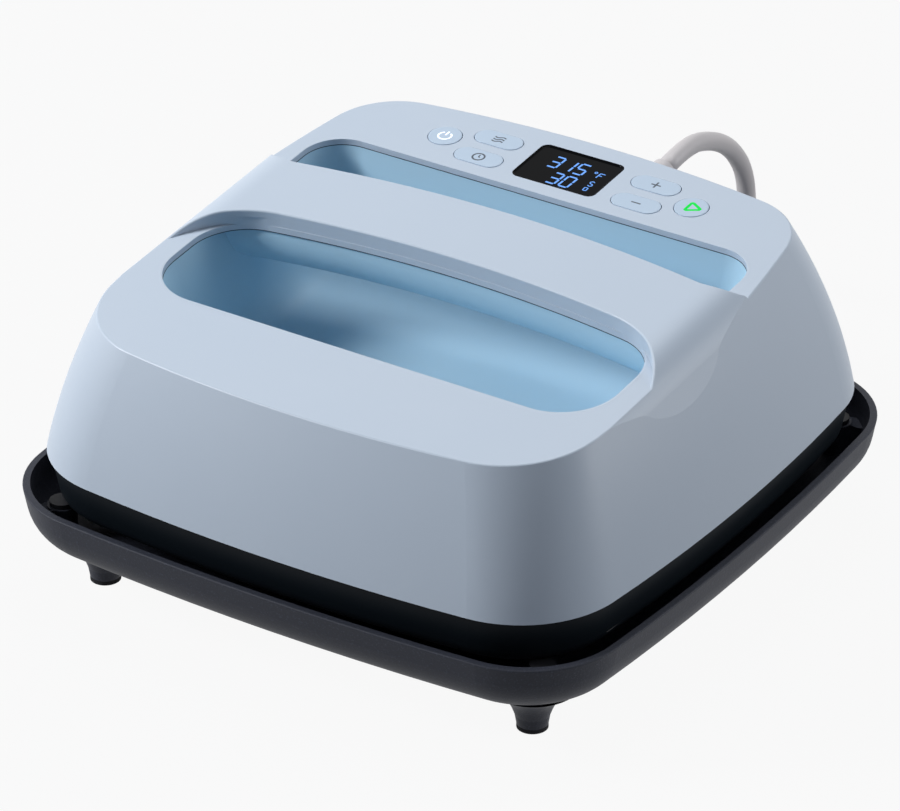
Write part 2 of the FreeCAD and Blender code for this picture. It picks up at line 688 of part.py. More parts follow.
def safety_base():
    floor, rim, half = float(s.tray_floor), float(s.tray_rim), float(s.tray_half)
    wall, bend, bow = float(s.tray_wall), float(s.tray_bend), float(s.tray_bow)
    flare, corner = float(s.tray_flare), float(s.tray_corner)
    over = 10
    slope = flare / (rim - floor)

    def level(grow, z):
        reach = half + grow
        return bowed_wire(reach, reach, reach, corner + grow, corner + grow, bow + grow, z)

    outer = loft([level(-flare, floor), level(0, rim)])
    outer = outer.makeFillet(bend, level_edges(outer, floor))
    outer = outer.makeFillet(float(s.rim_round), level_edges(outer, rim))
    inner = loft([level(slope * wall - flare - wall, floor + wall), level(slope * over - wall, rim + over)])
    inner = inner.makeFillet(bend - wall, level_edges(inner, floor + wall))
    foot = foot_body()
    for x, y in four(s.foot_spread):
        outer = outer.fuse(foot.translated(Vector(x, y, 0)))
    tray = outer.cut(inner)
    post_top = float(s.skirt_floor - s.rest_pad_thick)
    extras = [tray_bracket(x, y, post_top).common(inner) for x, y in four(s.post_spread)]
    thick = float(s.rib_thick)
    rib_high = post_top - float(s.rib_drop) - floor
    rib_start = half - flare - wall - float(s.rib_reach)
    for turn in range(4):
        for k in (-2, -1, 0, 1, 2):
            corner_low = Vector(k * float(s.rib_pitch) - thick / 2, rib_start, floor)
            rib = Part.makeBox(thick, half, rib_high, corner_low)
            rib.rotate(Vector(0, 0, 0), Vector(0, 0, 1), 90 * turn)
            extras.append(rib.common(inner))
    for extra in extras:
        tray = tray.fuse(extra)
    solid("base_tray", tray.removeSplitter())
    disc = Part.makeCylinder(float(s.foot_tip), float(s.foot_pad_thick))
    copies("foot_pads", disc, [at(x, y) for x, y in four(s.foot_spread)])
    rest = Part.makeCylinder(float(s.rest_pad_radius), float(s.rest_pad_thick))
    copies("rest_pads", rest, [at(x, y, post_top) for x, y in four(s.post_spread)])


# Heat plate stack

def element_points(height):
    tail, outer = float(s.element_tail), float(s.element_outer)
    leg, back = float(s.element_leg), float(s.element_exit)
    route = [(-tail, back), (-tail, outer), (-outer, outer), (-outer, -outer), (-leg, -outer),
             (-leg, leg), (leg, leg), (leg, -outer), (outer, -outer), (outer, outer),
             (tail, outer), (tail, back)]
    return [Vector(x, y, height) for x, y in route]


def standoff_spots():
    d = float(s.standoff_spread)
    return [(x, y) for x in (-d, 0.0, d) for y in (-d, 0.0, d) if (x, y) != (0.0, d)]


def heat_stack():
    radius, play = float(s.element_radius), float(s.element_gap)
    top = float(plate_top)
    body = doc.addObject("PartDesign::Body", "plate_blank")
    outline = sketch_on(body, "plate_outline", plate_floor)
    draw_round_rectangle(outline, s.plate_half * 2, s.plate_half * 2, s.plate_corner)
    pad(body, "plate_pad", outline, s.plate_thick)
    doc.recompute()
    blank = body.Shape.copy()
    blank = blank.makeFillet(float(s.plate_round), level_edges(blank, float(plate_floor)))
    lay = top - radius + play
    bends = [float(s.element_bend)] * 10
    flat = rounded_path(element_points(lay), bends)
    groove = tube(flat, radius + play)
    points = element_points(lay)
    lips = []
    for a, b in zip(points[:-1], points[1:]):
        run = b - a
        slot = Part.makeBox(run.Length, 2 * (radius + play), 2 * radius,
                            Vector(0, -(radius + play), 0))
        slot.rotate(Vector(0, 0, 0), Vector(0, 0, 1), math.degrees(math.atan2(run.y, run.x)))
        slot.translate(a)
        lips.append(slot)
    for fix in standoff_spots():
        deep = float(s.plate_bore)
        bore = Part.makeCylinder(float(s.plate_screw), deep, Vector(fix[0], fix[1], top - deep))
        blank = blank.cut(bore)
    groove = groove.fuse(lips)
    tail = float(s.element_tail)
    margin = 2
    end_room = Part.makeBox(4 * tail, float(s.plate_half), 2 * radius + margin,
                            Vector(-2 * tail, float(s.element_exit) - radius - margin,
                                   top - radius - play - margin))
    solid("heat_plate", blank.cut(groove).cut(end_room))

    rise = float(s.shell_edge + s.element_rise)
    route = [Vector(points[0].x, points[0].y, rise)] + points + [Vector(points[-1].x, points[-1].y, rise)]
    turn = float(s.element_turn)
    path = rounded_path(route, [turn] + bends + [turn])
    solid("heating_element", tube(path, radius))

    spacer_high = shield_floor - plate_top
    ring = Part.makeCylinder(float(s.standoff_radius), float(spacer_high))
    ring = ring.cut(Part.makeCylinder(float(s.plate_screw) + play, float(spacer_high)))
    copies("plate_spacers", ring, [at(x, y, top) for x, y in standoff_spots()])

    head = doc.addObject("Part::Cylinder", "plate_screw_head")
    head.setExpression("Radius", formula(s.plate_screw * 2))
    head.setExpression("Height", formula(s.plate_screw))
    shank = doc.addObject("Part::Cylinder", "plate_screw_shank")
    shank.setExpression("Radius", formula(s.plate_screw - 0.05))
    screw_long = spacer_high + s.shield_thick + s.plate_bore - 1
    shank.setExpression("Height", formula(screw_long))
    shank.setExpression("Placement.Base.z", formula(-screw_long))
    screw = doc.addObject("Part::Fuse", "plate_screw_blank")
    screw.Base, screw.Tool = head, shank
    doc.recompute()
    copies("plate_screws", screw.Shape, [at(x, y, s.shell_edge) for x, y in standoff_spots()])

    reach = (s.plate_half - s.blanket_in) * 2
    between = (s.element_outer + s.element_leg) / 2
    ease = 0.8
    holes = [(s.standoff_radius + ease, x, y) for x, y in standoff_spots()]
    holes += [(s.element_radius + 3, x, s.element_exit) for x in (-tail, tail)]
    holes += [(s.cutout_radius + ease, -between, 0), (s.sensor_radius + ease, between, 0)]
    blanket = plate_body("insulation_blanket", reach, reach, s.plate_corner, spacer_high - s.blanket_gap * 2,
                         plate_top + s.blanket_gap, holes)
    keep("insulation_blanket", blanket)

    wide, high = float(s.cutout_radius), float(s.cutout_high)
    cutout = Part.makeCylinder(wide, high, Vector(-float(between), 0, top))
    cutout = cutout.fuse(Part.makeCylinder(wide / 2, high / 2, Vector(-float(between), 0, top + high)))
    solid("thermal_cutout", cutout)
    wide, high = float(s.sensor_radius), float(s.sensor_thick)
    sensor = Part.makeCylinder(wide, high, Vector(float(between), 0, top))
    sensor = sensor.fuse(Part.makeCylinder(wide / 2, 4 * high, Vector(float(between), 0, top + high)))
    solid("temperature_sensor", sensor)

    gap = float(s.fit_gap)
    lip = float(s.skirt_step + s.skirt_wall) + gap
    half = float(s.shell_half) - lip
    corner, bow = float(s.corner_low) - lip, float(s.bow_low) - lip
    shield = prism(bowed_wire(half, half, half, corner, corner, bow, float(shield_floor)),
                   float(s.shield_thick))
    under = float(shield_floor) - 1
    for x, y in standoff_spots():
        shield = shield.cut(Part.makeCylinder(float(s.plate_screw) + play, 4, Vector(x, y, under)))
    for x in (-tail, tail):
        shield = shield.cut(Part.makeCylinder(radius + 1.5, 4, Vector(x, float(s.element_exit), under)))
    for x, y in BOSSES:
        shield = shield.cut(Part.makeCylinder(float(s.case_screw) + gap, 4, Vector(x, y, under)))
    solid("heat_shield", shield)


# Black lower housing

def lower_housing():
    edge, floor = float(s.shell_edge), float(s.skirt_floor)
    step, lean, wall = float(s.skirt_step), float(s.skirt_lean), float(s.skirt_wall)

    def ring(inward, z):
        share = (edge - z) / (edge - floor)
        half = float(s.shell_half) - step - lean * share - inward
        corner = float(s.corner_low) - step - lean * share / 2 - inward
        bow = float(s.bow_low) - step - inward
        return bowed_wire(half, half, half, corner, corner, bow, z)

    outer = loft([ring(0, floor), ring(0, edge)])
    outer = outer.makeFillet(float(s.skirt_bend), level_edges(outer, floor))
    hole = float(s.plate_half + s.plate_gap)
    hole_corner = float(s.plate_corner + s.plate_gap)
    room = prism(square_wire(hole, -hole, hole, hole_corner, hole_corner, floor - 1), edge - floor + 2)
    flange_low = float(shield_floor - s.flange_thick)
    cavity = loft([ring(wall, floor + wall), ring(wall, flange_low)])
    seat = prism(ring(wall, float(shield_floor)), float(s.shield_thick) + 1)
    body = outer.cut(room).cut(cavity).cut(seat)
    for x, y in BOSSES:
        body = body.cut(Part.makeCylinder(float(s.case_screw) + 0.3, 8, Vector(x, y, flange_low - 2)))
        body = body.cut(Part.makeCylinder(float(s.screw_head) + 0.8, wall + 2, Vector(x, y, floor - 1)))
    solid("lower_housing", body)

    head = Part.makeCylinder(float(s.screw_head), float(s.screw_head_high),
                             Vector(0, 0, -float(s.screw_head_high)))
    shank = Part.makeCylinder(float(s.case_screw), float(s.case_screw_long))
    copies("housing_screws", head.fuse(shank), [at(x, y, flange_low) for x, y in BOSSES])


# Blue top shell with its bosses, hand well and keyholes

def top_shell():
    outer = round_crests(shell_form(0))
    wall = float(s.shell_wall)
    hollow = shell_form(wall, -3.0)
    shell = outer.cut(hollow).cut(opening(-1)).cut(opening(1))
    gap = float(s.key_gap)
    for label, wide, deep, x, y in KEYS:
        shell = shell.cut(key_block(wide, deep, x, y, gap, -2 * wall, wall))
    round_off = float(s.display_gap)
    across, deep = float(s.display_wide) / 2 + round_off, float(s.display_deep) / 2 + round_off
    bend = float(s.display_corner)
    display = prism(square_wire(across, -deep, deep, bend, bend, -2 * wall), 3 * wall)
    display.translate(Vector(0, float(s.display_line), 0))
    display.Placement = top_place.multiply(display.Placement)
    shell = shell.cut(display)
    edge = float(s.shell_edge)
    screw = float(s.case_screw)
    for x, y in BOSSES:
        post = Part.makeCylinder(float(s.boss_radius), float(s.top_height) - edge, Vector(x, y, edge))
        post = post.common(shell_body(wall / 2))
        post = post.cut(Part.makeCylinder(screw + 0.05, float(s.case_screw_long), Vector(x, y, edge - 1)))
        shell = shell.fuse(post)
    for x, y in CONTROL_FIXES:
        low = -float(s.board_depth)
        post = Part.makeCylinder(float(s.control_boss_radius), -low - wall / 2, Vector(x, y, low))
        post = post.cut(Part.makeCylinder(float(s.board_screw) + 0.05, 7, Vector(x, y, low)))
        post.Placement = top_place
        shell = shell.fuse(post)
    shell = shell.cut(relief_core(float(s.relief_root) - 1.5, -20, 20))
    solid("top_shell", shell.removeSplitter())


def relief_place():
    """Frame of the cord exit: its X axis points out along the cord."""
    rise = float(s.cord_height - s.shell_edge)
    y = float(s.shell_half) - wall_inset(rise) * float(s.rear_share)
    return Placement(Vector(float(s.cord_across), y, float(s.cord_height)),
                     Rotation(Vector(1, 0, 0), Vector(0, math.cos(math.radians(float(s.cord_rake))),
                                                      math.sin(math.radians(float(s.cord_rake))))))


def relief_core(radius, start, end):
    core = Part.makeCylinder(radius, end - start, Vector(start, 0, 0), Vector(1, 0, 0))
    core.Placement = relief_place().multiply(core.Placement)
    return core


def tub(grow):
    """The hand well's inside, grown by a skin."""
    half, near, far = float(s.well_half) + grow, -float(s.well_front) - grow, float(s.well_rear) + grow
    corner, slot = float(s.well_corner) + grow, float(s.slot_corner) + grow
    draft, deep = float(s.well_draft), float(s.well_deep) + grow
    mouth = square_wire(half, near, far, corner, slot, -float(s.shell_wall))
    floor = square_wire(half - draft, near + draft, far - draft, corner - draft / 2,
                        slot - draft / 2, -deep)
    shape = loft([mouth, floor])
    shape = shape.makeFillet(float(s.well_bend) + grow, level_edges(shape, -deep))
    shape.Placement = top_place
    return shape


def hand_well():
    hollow = shell_form(float(s.shell_wall) + 0.1)
    liner = tub(float(s.liner_wall)).cut(tub(0)).common(hollow)
    solid("hand_well_liner", liner)

    half, wall = float(s.handle_half), float(s.handle_wall)
    sink, top = float(s.handle_sink), float(s.shell_wall)
    line = float(s.handle_line)

    def trough_wire(radius):
        left, right = Vector(0, line - radius, -top), Vector(0, line + radius, -top)
        low_left, low_right = Vector(0, line - radius, -sink), Vector(0, line + radius, -sink)
        bowl = Part.Arc(low_left, Vector(0, line, -sink - radius), low_right).toShape()
        return Part.Wire([Part.LineSegment(left, low_left).toShape(), bowl,
                          Part.LineSegment(low_right, right).toShape(),
                          Part.LineSegment(right, left).toShape()])

    bow = float(s.handle_bow)
    sweep = 2 * math.degrees(math.asin(1.1 * float(s.well_half) / (bow - half)))

    def bent(radius):
        face = Part.Face(trough_wire(radius))
        pivot = Vector(0, line - bow, 0)
        face.rotate(pivot, Vector(0, 0, 1), -sweep / 2)
        shape = face.revolve(pivot, Vector(0, 0, 1), sweep)
        shape.Placement = top_place.multiply(shape.Placement)
        return shape

    trough = bent(half).cut(bent(half - wall)).common(tub(-0.15)).common(shell_form(top + 0.1, 0.0))
    solid("handle_underside", trough)


# Control panel

def control_panel():
    wall, gap = float(s.shell_wall), float(s.key_play)
    flange = float(s.key_flange)
    stem_low = -float(s.board_depth - s.switch_high) + 1.6 + float(s.key_travel) + 0.2
    for label, wide, deep, x, y in KEYS:
        cap = key_block(wide, deep, x, y, 0, -wall - gap, float(s.key_proud))
        brim = key_block(wide, deep, x, y, flange, -wall - gap - flange, -wall - gap)
        stem = Part.makeCylinder(float(s.stem_radius), -wall - gap - flange - stem_low, Vector(x, y, stem_low))
        stem.Placement = top_place
        solid(label, cap.fuse(brim).fuse(stem).removeSplitter())

    carrier_top = -wall - gap - flange - float(s.key_travel) - 0.2
    thick = float(s.carrier_thick)
    wide, deep = float(s.control_wide), float(s.control_deep)
    plate = prism(square_wire(wide / 2, -deep / 2, deep / 2, 3, 3, carrier_top - thick), thick)
    plate.translate(Vector(0, control_line, 0))
    plate.Placement = top_place.multiply(plate.Placement)
    cutters = []
    for label, w, d, x, y in KEYS:
        hole = Part.makeCylinder(float(s.stem_radius) + 0.3, 3 * thick, Vector(x, y, carrier_top - 2 * thick))
        hole.Placement = top_place
        cutters.append(hole)
    for x, y in CONTROL_FIXES:
        hole = Part.makeCylinder(float(s.control_boss_radius) + 0.1, 3 * thick,
                                 Vector(x, y, carrier_top - 2 * thick))
        hole.Placement = top_place
        cutters.append(hole)
    room = float(s.display_lip) + 1
    across, along = float(s.display_wide) / 2 + room, float(s.display_deep) / 2 + room
    window_hole = prism(square_wire(across, -along, along, 1, 1, carrier_top - 2 * thick), 3 * thick)
    window_hole.translate(Vector(0, float(s.display_line), 0))
    window_hole.Placement = top_place.multiply(window_hole.Placement)
    cutters.append(window_hole)
    solid("key_carrier", plate.cut(cutters))

    window = doc.addObject("PartDesign::Body", "window_body")
    face = sketch_on(window, "window_face", -(s.shell_wall + s.key_play))
    draw_round_rectangle(face, s.display_wide, s.display_deep, s.display_corner)
    pad(window, "window_face_pad", face, s.shell_wall + s.key_play - s.display_sink)
    lip = sketch_on(window, "window_lip", -(s.shell_wall + s.key_play + s.key_flange))
    draw_round_rectangle(lip, s.display_wide + s.display_lip * 2, s.display_deep + s.display_lip * 2,
                         s.display_corner + s.display_lip)
    pad(window, "window_lip_pad", lip, s.key_flange)
    window.Placement = top_place.multiply(at(0, s.display_line))
    keep("display_window", window)

    board_top = -float(s.board_depth)
    module = plate_body("display_module", s.display_wide + 1, s.display_deep + 1, s.display_corner / 3,
                        s.board_depth - s.shell_wall - s.key_play - s.key_flange - 0.2,
                        -s.board_depth, at=top_place.multiply(at(0, s.display_line)))
    keep("display_module", module)

    holes = [(Length(1.4, "1.4"), x, y - control_line) for x, y in CONTROL_FIXES]
    board = plate_body("control_board", s.control_wide, s.control_deep, Length(3, "3"), s.board_thick,
                       -s.board_depth - s.board_thick, holes, top_place.multiply(at(0, control_line)))
    keep("control_board", board)

    side, high = float(s.switch_wide), float(s.switch_high)
    switch = Part.makeBox(side, side, high, Vector(-side / 2, -side / 2, 0))
    switch = switch.fuse(Part.makeCylinder(float(s.plunger_radius), 1.6, Vector(0, 0, high)))
    places = [top_place.multiply(at(x, y, board_top)) for label, w, d, x, y in KEYS]
    copies("tact_switches", switch, places)

    shank = float(s.board_screw)
    head = Part.makeCylinder(2 * shank, 1.5 * shank, Vector(0, 0, -1.5 * shank))
    head = head.fuse(Part.makeCylinder(shank, 7))
    under = board_top - float(s.board_thick)
    copies("board_screws", head, [top_place.multiply(at(x, y, under)) for x, y in CONTROL_FIXES])
    beeper = Part.makeCylinder(6, 5.5, Vector(30, control_line - 6, under - 5.5))
    beeper.Placement = top_place
    solid("beeper", beeper)


# Power electronics on the heat shield

def block_on_board(left, near, wide, deep, high, lift=0.0):
    """A block on the power board, its corner given from the board's middle."""
    top = float(s.shell_edge + s.power_lift + s.board_thick)
    return Part.makeBox(wide, deep, high, Vector(left, float(s.power_line) + near, top + lift))


def power_unit():
    base = s.shell_edge + s.power_lift
    line, lift = float(s.power_line), float(s.power_lift)
    end, side = float(s.power_wide / 2 - s.pillar_in), float(s.power_deep / 2 - s.pillar_side)
    spots = [(x, y) for x in (-end, end) for y in (-side, side)]
    pillar = float(s.pillar_radius)
    holes = [(s.pillar_radius / 2 + 0.1, x, y) for x, y in spots]
    holes += [(s.element_radius + 2, x, s.element_exit - s.power_line)
              for x in (-float(s.element_tail), float(s.element_tail))]
    board = plate_body("power_board", s.power_wide, s.power_deep, Length(3, "3"), s.board_thick, base,
                       holes, at(0, s.power_line))
    keep("power_board", board)
    leg = Part.makeCylinder(pillar, lift)
    leg = leg.fuse(Part.makeCylinder(pillar / 2, lift + float(s.board_thick) + 1))
    copies("board_pillars", leg, [at(x, y + line, s.shell_edge) for x, y in spots])

    fin_count, fin, sink_wide, sink_deep, sink_left = 6, 1.6, 34, 20, -62
    sink = block_on_board(sink_left, -sink_deep / 2, sink_wide, sink_deep, 2.5)
    for k in range(fin_count):
        step = (sink_wide - fin) / (fin_count - 1)
        sink = sink.fuse(block_on_board(sink_left + k * step, -sink_deep / 2, fin, sink_deep, 18))
    solid("triac_heat_sink", sink.removeSplitter())
    relay = block_on_board(30, -7, 20, 16, 15)
    solid("power_relay", relay.makeFillet(1, [e for e in relay.Edges if e.BoundBox.ZLength > 10]))
    core = block_on_board(-11, -17, 22, 18, 14).fuse(block_on_board(-7, -18.5, 14, 21, 10, 2))
    solid("supply_transformer", core.removeSplitter())
    can_high, can_radius = 17, 6
    board_top = float(base + s.board_thick)
    can = Part.makeCylinder(can_radius, can_high, Vector(60, line + can_radius, board_top))
    solid("smoothing_capacitor", can.makeFillet(1, level_edges(can, board_top + can_high)))
    block_left, block_near, block_high, pitch = 38, -18, 10, 8
    block = block_on_board(block_left, block_near, 3 * pitch, 9, block_high)
    for k in range(3):
        middle = Vector(block_left + pitch * (k + 0.5), line + block_near + 4.5, board_top + block_high - 4)
        block = block.cut(Part.makeCylinder(2, 4, middle))
    solid("terminal_block", block)


# Mains cord, its strain relief, coil and plug

def strain_relief():
    root, cord, long = float(s.relief_root), float(s.cord_radius), float(s.relief_long)
    wall, seat = float(s.shell_wall), float(s.relief_seat)
    profile = [(-wall - 3.5, cord), (-wall - 3.5, root + 1), (-wall - seat, root + 1),
               (-wall - seat, root - 1.7), (seat, root - 1.7), (seat, root), (4, root),
               (long, cord + 1.1), (long, cord)]
    points = [Vector(x, r, 0) for x, r in profile]
    face = Part.Face(Part.makePolygon(points + [points[0]]))
    body = face.revolve(Vector(0, 0, 0), Vector(1, 0, 0), 360)
    for k in range(5):
        x = 7.5 + k * 4.3
        groove = Part.makeCylinder(2 * root, 1.6, Vector(x, 0, 0), Vector(1, 0, 0))
        share = (x - 4) / (long - 4)
        keep_radius = root + (cord + 1.1 - root) * share - 1.1
        groove = groove.cut(Part.makeCylinder(max(keep_radius, cord + 0.9), 1.6, Vector(x, 0, 0), Vector(1, 0, 0)))
        body = body.cut(groove)
    core = Part.makeCylinder(cord, long + wall + 3.5, Vector(-wall - 3.5, 0, 0), Vector(1, 0, 0))
    body = body.fuse(core).removeSplitter()
    solid("strain_relief", body, relief_place())


def coil_point(turns, radius, z):
    angle = coil_start + 2 * math.pi * turns
    return Vector(float(s.coil_across) + radius * math.cos(angle),
                  float(s.coil_back) + radius * math.sin(angle), z)


coil_start = math.radians(75)


def coil_state(turns):
    """Radius and height of the coil's centre line after so many turns."""
    flat, pitch = float(s.coil_turns), float(s.coil_pitch)
    outer = float(s.coil_middle) + pitch * flat / 2
    low = float(s.cord_radius)
    inner = outer - pitch * flat
    if turns <= flat:
        return outer - pitch * turns, low
    if turns >= flat + 0.5:
        return inner + pitch * (turns - flat - 0.5), low + pitch
    share = (turns - flat) / 0.5
    ease = share * share * (3 - 2 * share)
    return inner - 0.3 * pitch * math.sin(math.pi * share), low + pitch * ease


def coil_line():
    """A short straight start, quarter turn arcs that follow the spiral, and a tail."""
    total = float(s.coil_turns) + 0.5 + float(s.coil_upper)
    steps = int(round(total * 4))
    spots = []
    for i in range(2 * steps + 1):
        turns = total * i / (2 * steps)
        radius, z = coil_state(turns)
        spots.append(coil_point(turns, radius, z))
    edges = []
    for i in range(0, 2 * steps, 2):
        edges.append(Part.Arc(spots[i], spots[i + 1], spots[i + 2]).toShape())
    into = edges[0].tangentAt(edges[0].FirstParameter)
    start = spots[0] - into * float(s.coil_lead_in)
    edges.insert(0, Part.LineSegment(start, spots[0]).toShape())
    last = edges[-1]
    along = last.tangentAt(last.LastParameter)
    along.z = 0
    edges.append(Part.LineSegment(spots[-1], toward(spots[-1], spots[-1] + along, float(s.coil_tail))).toShape())
    return edges, spots


# Points of the cord from the strain relief to its last bend, chosen by hand, y behind the rim
CORD_ROUTE = [(5, 49.1, 103.6), (5, 66.1, 92.6), (5, 79, 74.8), (4.6, 82.6, 51.5),
              (-1, 96.6, 30.6), (-14, 112, 16)]


def mains_cord():
    edges, spots = coil_line()
    out = relief_place()
    end = out.multVec(Vector(float(s.relief_long), 0, 0))
    ahead = out.multVec(Vector(float(s.relief_long) + 18, 0, 0))
    entry = edges[0].valueAt(edges[0].FirstParameter)
    bend = entry - edges[0].tangentAt(edges[0].FirstParameter) * float(s.coil_turn_in)
    behind = float(s.tray_half)
    route = [end, ahead] + [Vector(x, behind + y, z) for x, y, z in CORD_ROUTE] + [bend, entry]
    radii = []
    for i in range(1, len(route) - 1):
        into, onward = route[i] - route[i - 1], route[i + 1] - route[i]
        turn = into.getAngle(onward)
        radii.append(0.45 * min(into.Length, onward.Length) / math.tan(turn / 2))
    print("cord bend radii", [round(r, 1) for r in radii])
    print("cord runs", [round((b - a).Length, 1) for a, b in zip(route[:-1], route[1:])])
    path = rounded_path(route, radii)
    lead = tube(path, float(s.cord_radius))
    area = math.pi * float(s.cord_radius) ** 2
    print("cord lead", round(path.Length, 1), "volume share", round(lead.Volume / (area * path.Length), 4))
    solid("cord_lead", lead)
    return edges, spots, path.Length


def cord_coil():
    edges, spots, lead_long = mains_cord()
    line = Part.Wire(edges)
    radius = float(s.cord_radius)
    start = edges[0].valueAt(edges[0].FirstParameter)
    heading = edges[0].tangentAt(edges[0].FirstParameter)
    ring = Part.Wire(Part.makeCircle(radius, start, heading))
    coil = line.makePipeShell([ring], True, False)
    gaps = []
    count = len(spots)
    for i in range(count):
        for j in range(i + 6, count):
            gaps.append((spots[i] - spots[j]).Length - 2 * radius)
    print("coil length", round(line.Length, 1), "least gap", round(min(gaps), 2),
          "cord in all", round(line.Length + lead_long, 1))
    solid("cord_coil", coil)
    last = edges[-1]
    tail = last.valueAt(last.LastParameter)
    along = last.tangentAt(last.LastParameter)
    place = Placement(tail, Rotation(Vector(1, 0, 0), along))
    long, wide, high = float(s.plug_long), float(s.plug_wide), float(s.plug_high)
    neck = Part.makeCone(radius + 0.9, radius + 3.5, 16, Vector(0, 0, 0), Vector(1, 0, 0))
    body = prism(square_wire(wide / 2, 0, long, 5, 5, -high / 2), high)
    body = body.makeFillet(3, level_edges(body, high / 2) + level_edges(body, -high / 2))
    body.rotate(Vector(0, 0, 0), Vector(0, 0, 1), -90)
    body.translate(Vector(14, 0, 0))
    plug = neck.fuse(body).removeSplitter()
    solid("power_plug", plug, place)
    blade = Part.makeBox(18, 1.5, 6.3, Vector(0, -0.75, -3.15))
    pins = [blade.translated(Vector(14 + long, dy, 2)) for dy in (-6.35, 6.35)]
    pins.append(Part.makeCylinder(2.4, 20, Vector(14 + long, 0, -6), Vector(1, 0, 0)))
    solid("plug_pins", Part.makeCompound(pins), place)


safety_base()
heat_stack()
lower_housing()
top_shell()
hand_well()
control_panel()
power_unit()
strain_relief()
cord_coil()
doc.recompute()

for thing in doc.Objects:
    if "Invalid" in thing.State or "Error" in thing.State:
        raise RuntimeError(f"{thing.Name} did not build: {thing.State}")
for thing in nodes:
    if thing.Shape.isNull() or not thing.Shape.isValid():
        raise RuntimeError(f"{thing.Label} has no valid shape")

os.makedirs("parts", exist_ok=True)
for thing in nodes:
    thing.Shape.exportStep(f"parts/{thing.Label}.step")
print(len(nodes), "pieces written")
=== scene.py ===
import json
import math

import bmesh
import bpy
import numpy as np
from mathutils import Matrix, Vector


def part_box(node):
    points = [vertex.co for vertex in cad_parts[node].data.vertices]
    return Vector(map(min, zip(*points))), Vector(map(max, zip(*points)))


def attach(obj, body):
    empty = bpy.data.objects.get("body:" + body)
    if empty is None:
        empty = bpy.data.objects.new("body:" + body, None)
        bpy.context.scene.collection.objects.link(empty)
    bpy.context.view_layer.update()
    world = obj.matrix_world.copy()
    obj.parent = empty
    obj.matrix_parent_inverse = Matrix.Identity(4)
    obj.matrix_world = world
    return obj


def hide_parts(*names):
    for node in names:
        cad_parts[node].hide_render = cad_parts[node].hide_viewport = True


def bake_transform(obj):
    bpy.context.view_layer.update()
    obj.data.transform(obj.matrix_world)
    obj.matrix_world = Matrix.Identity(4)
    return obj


print("loading the packed press")
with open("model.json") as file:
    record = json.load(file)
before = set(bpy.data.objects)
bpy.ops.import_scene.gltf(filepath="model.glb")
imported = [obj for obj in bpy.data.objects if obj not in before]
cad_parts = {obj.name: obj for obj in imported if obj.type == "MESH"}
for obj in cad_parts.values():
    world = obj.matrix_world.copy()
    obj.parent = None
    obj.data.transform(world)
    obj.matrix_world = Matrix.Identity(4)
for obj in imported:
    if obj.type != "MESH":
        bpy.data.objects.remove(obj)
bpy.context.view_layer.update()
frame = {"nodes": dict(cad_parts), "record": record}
nodes = frame["nodes"]
mm = 0.001
# Points this close to the end of a node count as its end face, and points this close together are made one
faceSlice = 0.02 * mm
weldReach = 0.002 * mm

# The photograph's camera: place and turn from the outline fit, a long lens as in the picture
cameraFit = {"place": (1.0612, -1.6405, 1.1643), "azimuth": 32.90, "elevation": 29.52,
             "lens": 226.68, "sensor": 36, "shiftX": -0.0047, "shiftY": 0.0089,
             "nearest": 0.05, "farthest": 50}


# Points the camera back along the line from the press, level to the horizon
def placeCamera(fit):
    data = bpy.data.cameras.new("photoCamera")
    data.lens = fit["lens"]
    data.sensor_width = fit["sensor"]
    data.shift_x = fit["shiftX"]
    data.shift_y = fit["shiftY"]
    data.clip_start, data.clip_end = fit["nearest"], fit["farthest"]
    camera = bpy.data.objects.new("photoCamera", data)
    turn, rise = math.radians(fit["azimuth"]), math.radians(fit["elevation"])
    back = Vector((math.sin(turn) * math.cos(rise), -math.cos(turn) * math.cos(rise), math.sin(rise)))
    camera.rotation_mode = "QUATERNION"
    camera.rotation_quaternion = (-back).to_track_quat("-Z", "Y")
    camera.location = fit["place"]
    bpy.context.scene.collection.objects.link(camera)
    bpy.context.scene.camera = camera


placeCamera(cameraFit)


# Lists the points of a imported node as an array
def nodePoints(name):
    mesh = nodes[name].data
    flat = np.empty(len(mesh.vertices) * 3)
    mesh.vertices.foreach_get("co", flat)
    return flat.reshape(-1, 3)


# The middle of the box round some points
def middleOf(points):
    return (points.min(axis=0) + points.max(axis=0)) / 2


# Makes one mesh from grids of points, each given as (grid, rows close, columns close, ends capped)
def surfacePiece(name, grids, smooth=True):
    points, faces, start = [], [], 0
    for grid, closeRows, closeColumns, capped in grids:
        rows, columns = grid.shape[:2]
        index = np.arange(rows * columns).reshape(rows, columns) + start
        ends = [index[0][::-1].tolist(), index[-1].tolist()] if capped else []
        index = np.vstack([index, index[:1]]) if closeRows else index
        index = np.hstack([index, index[:, :1]]) if closeColumns else index
        quads = np.stack([index[:-1, :-1], index[:-1, 1:], index[1:, 1:], index[1:, :-1]], axis=-1)
        faces += quads.reshape(-1, 4).tolist() + ends
        points.append(grid.reshape(-1, 3))
        start += rows * columns
    mesh = bpy.data.meshes.new(name)
    mesh.from_pydata(np.concatenate(points), [], faces)
    shape = bmesh.new()
    shape.from_mesh(mesh)
    bmesh.ops.remove_doubles(shape, verts=shape.verts, dist=weldReach)
    bmesh.ops.recalc_face_normals(shape, faces=shape.faces)
    shape.to_mesh(mesh)
    shape.free()
    if smooth:
        mesh.shade_smooth()
    piece = bpy.data.objects.new(name, mesh)
    bpy.context.scene.collection.objects.link(piece)
    return piece


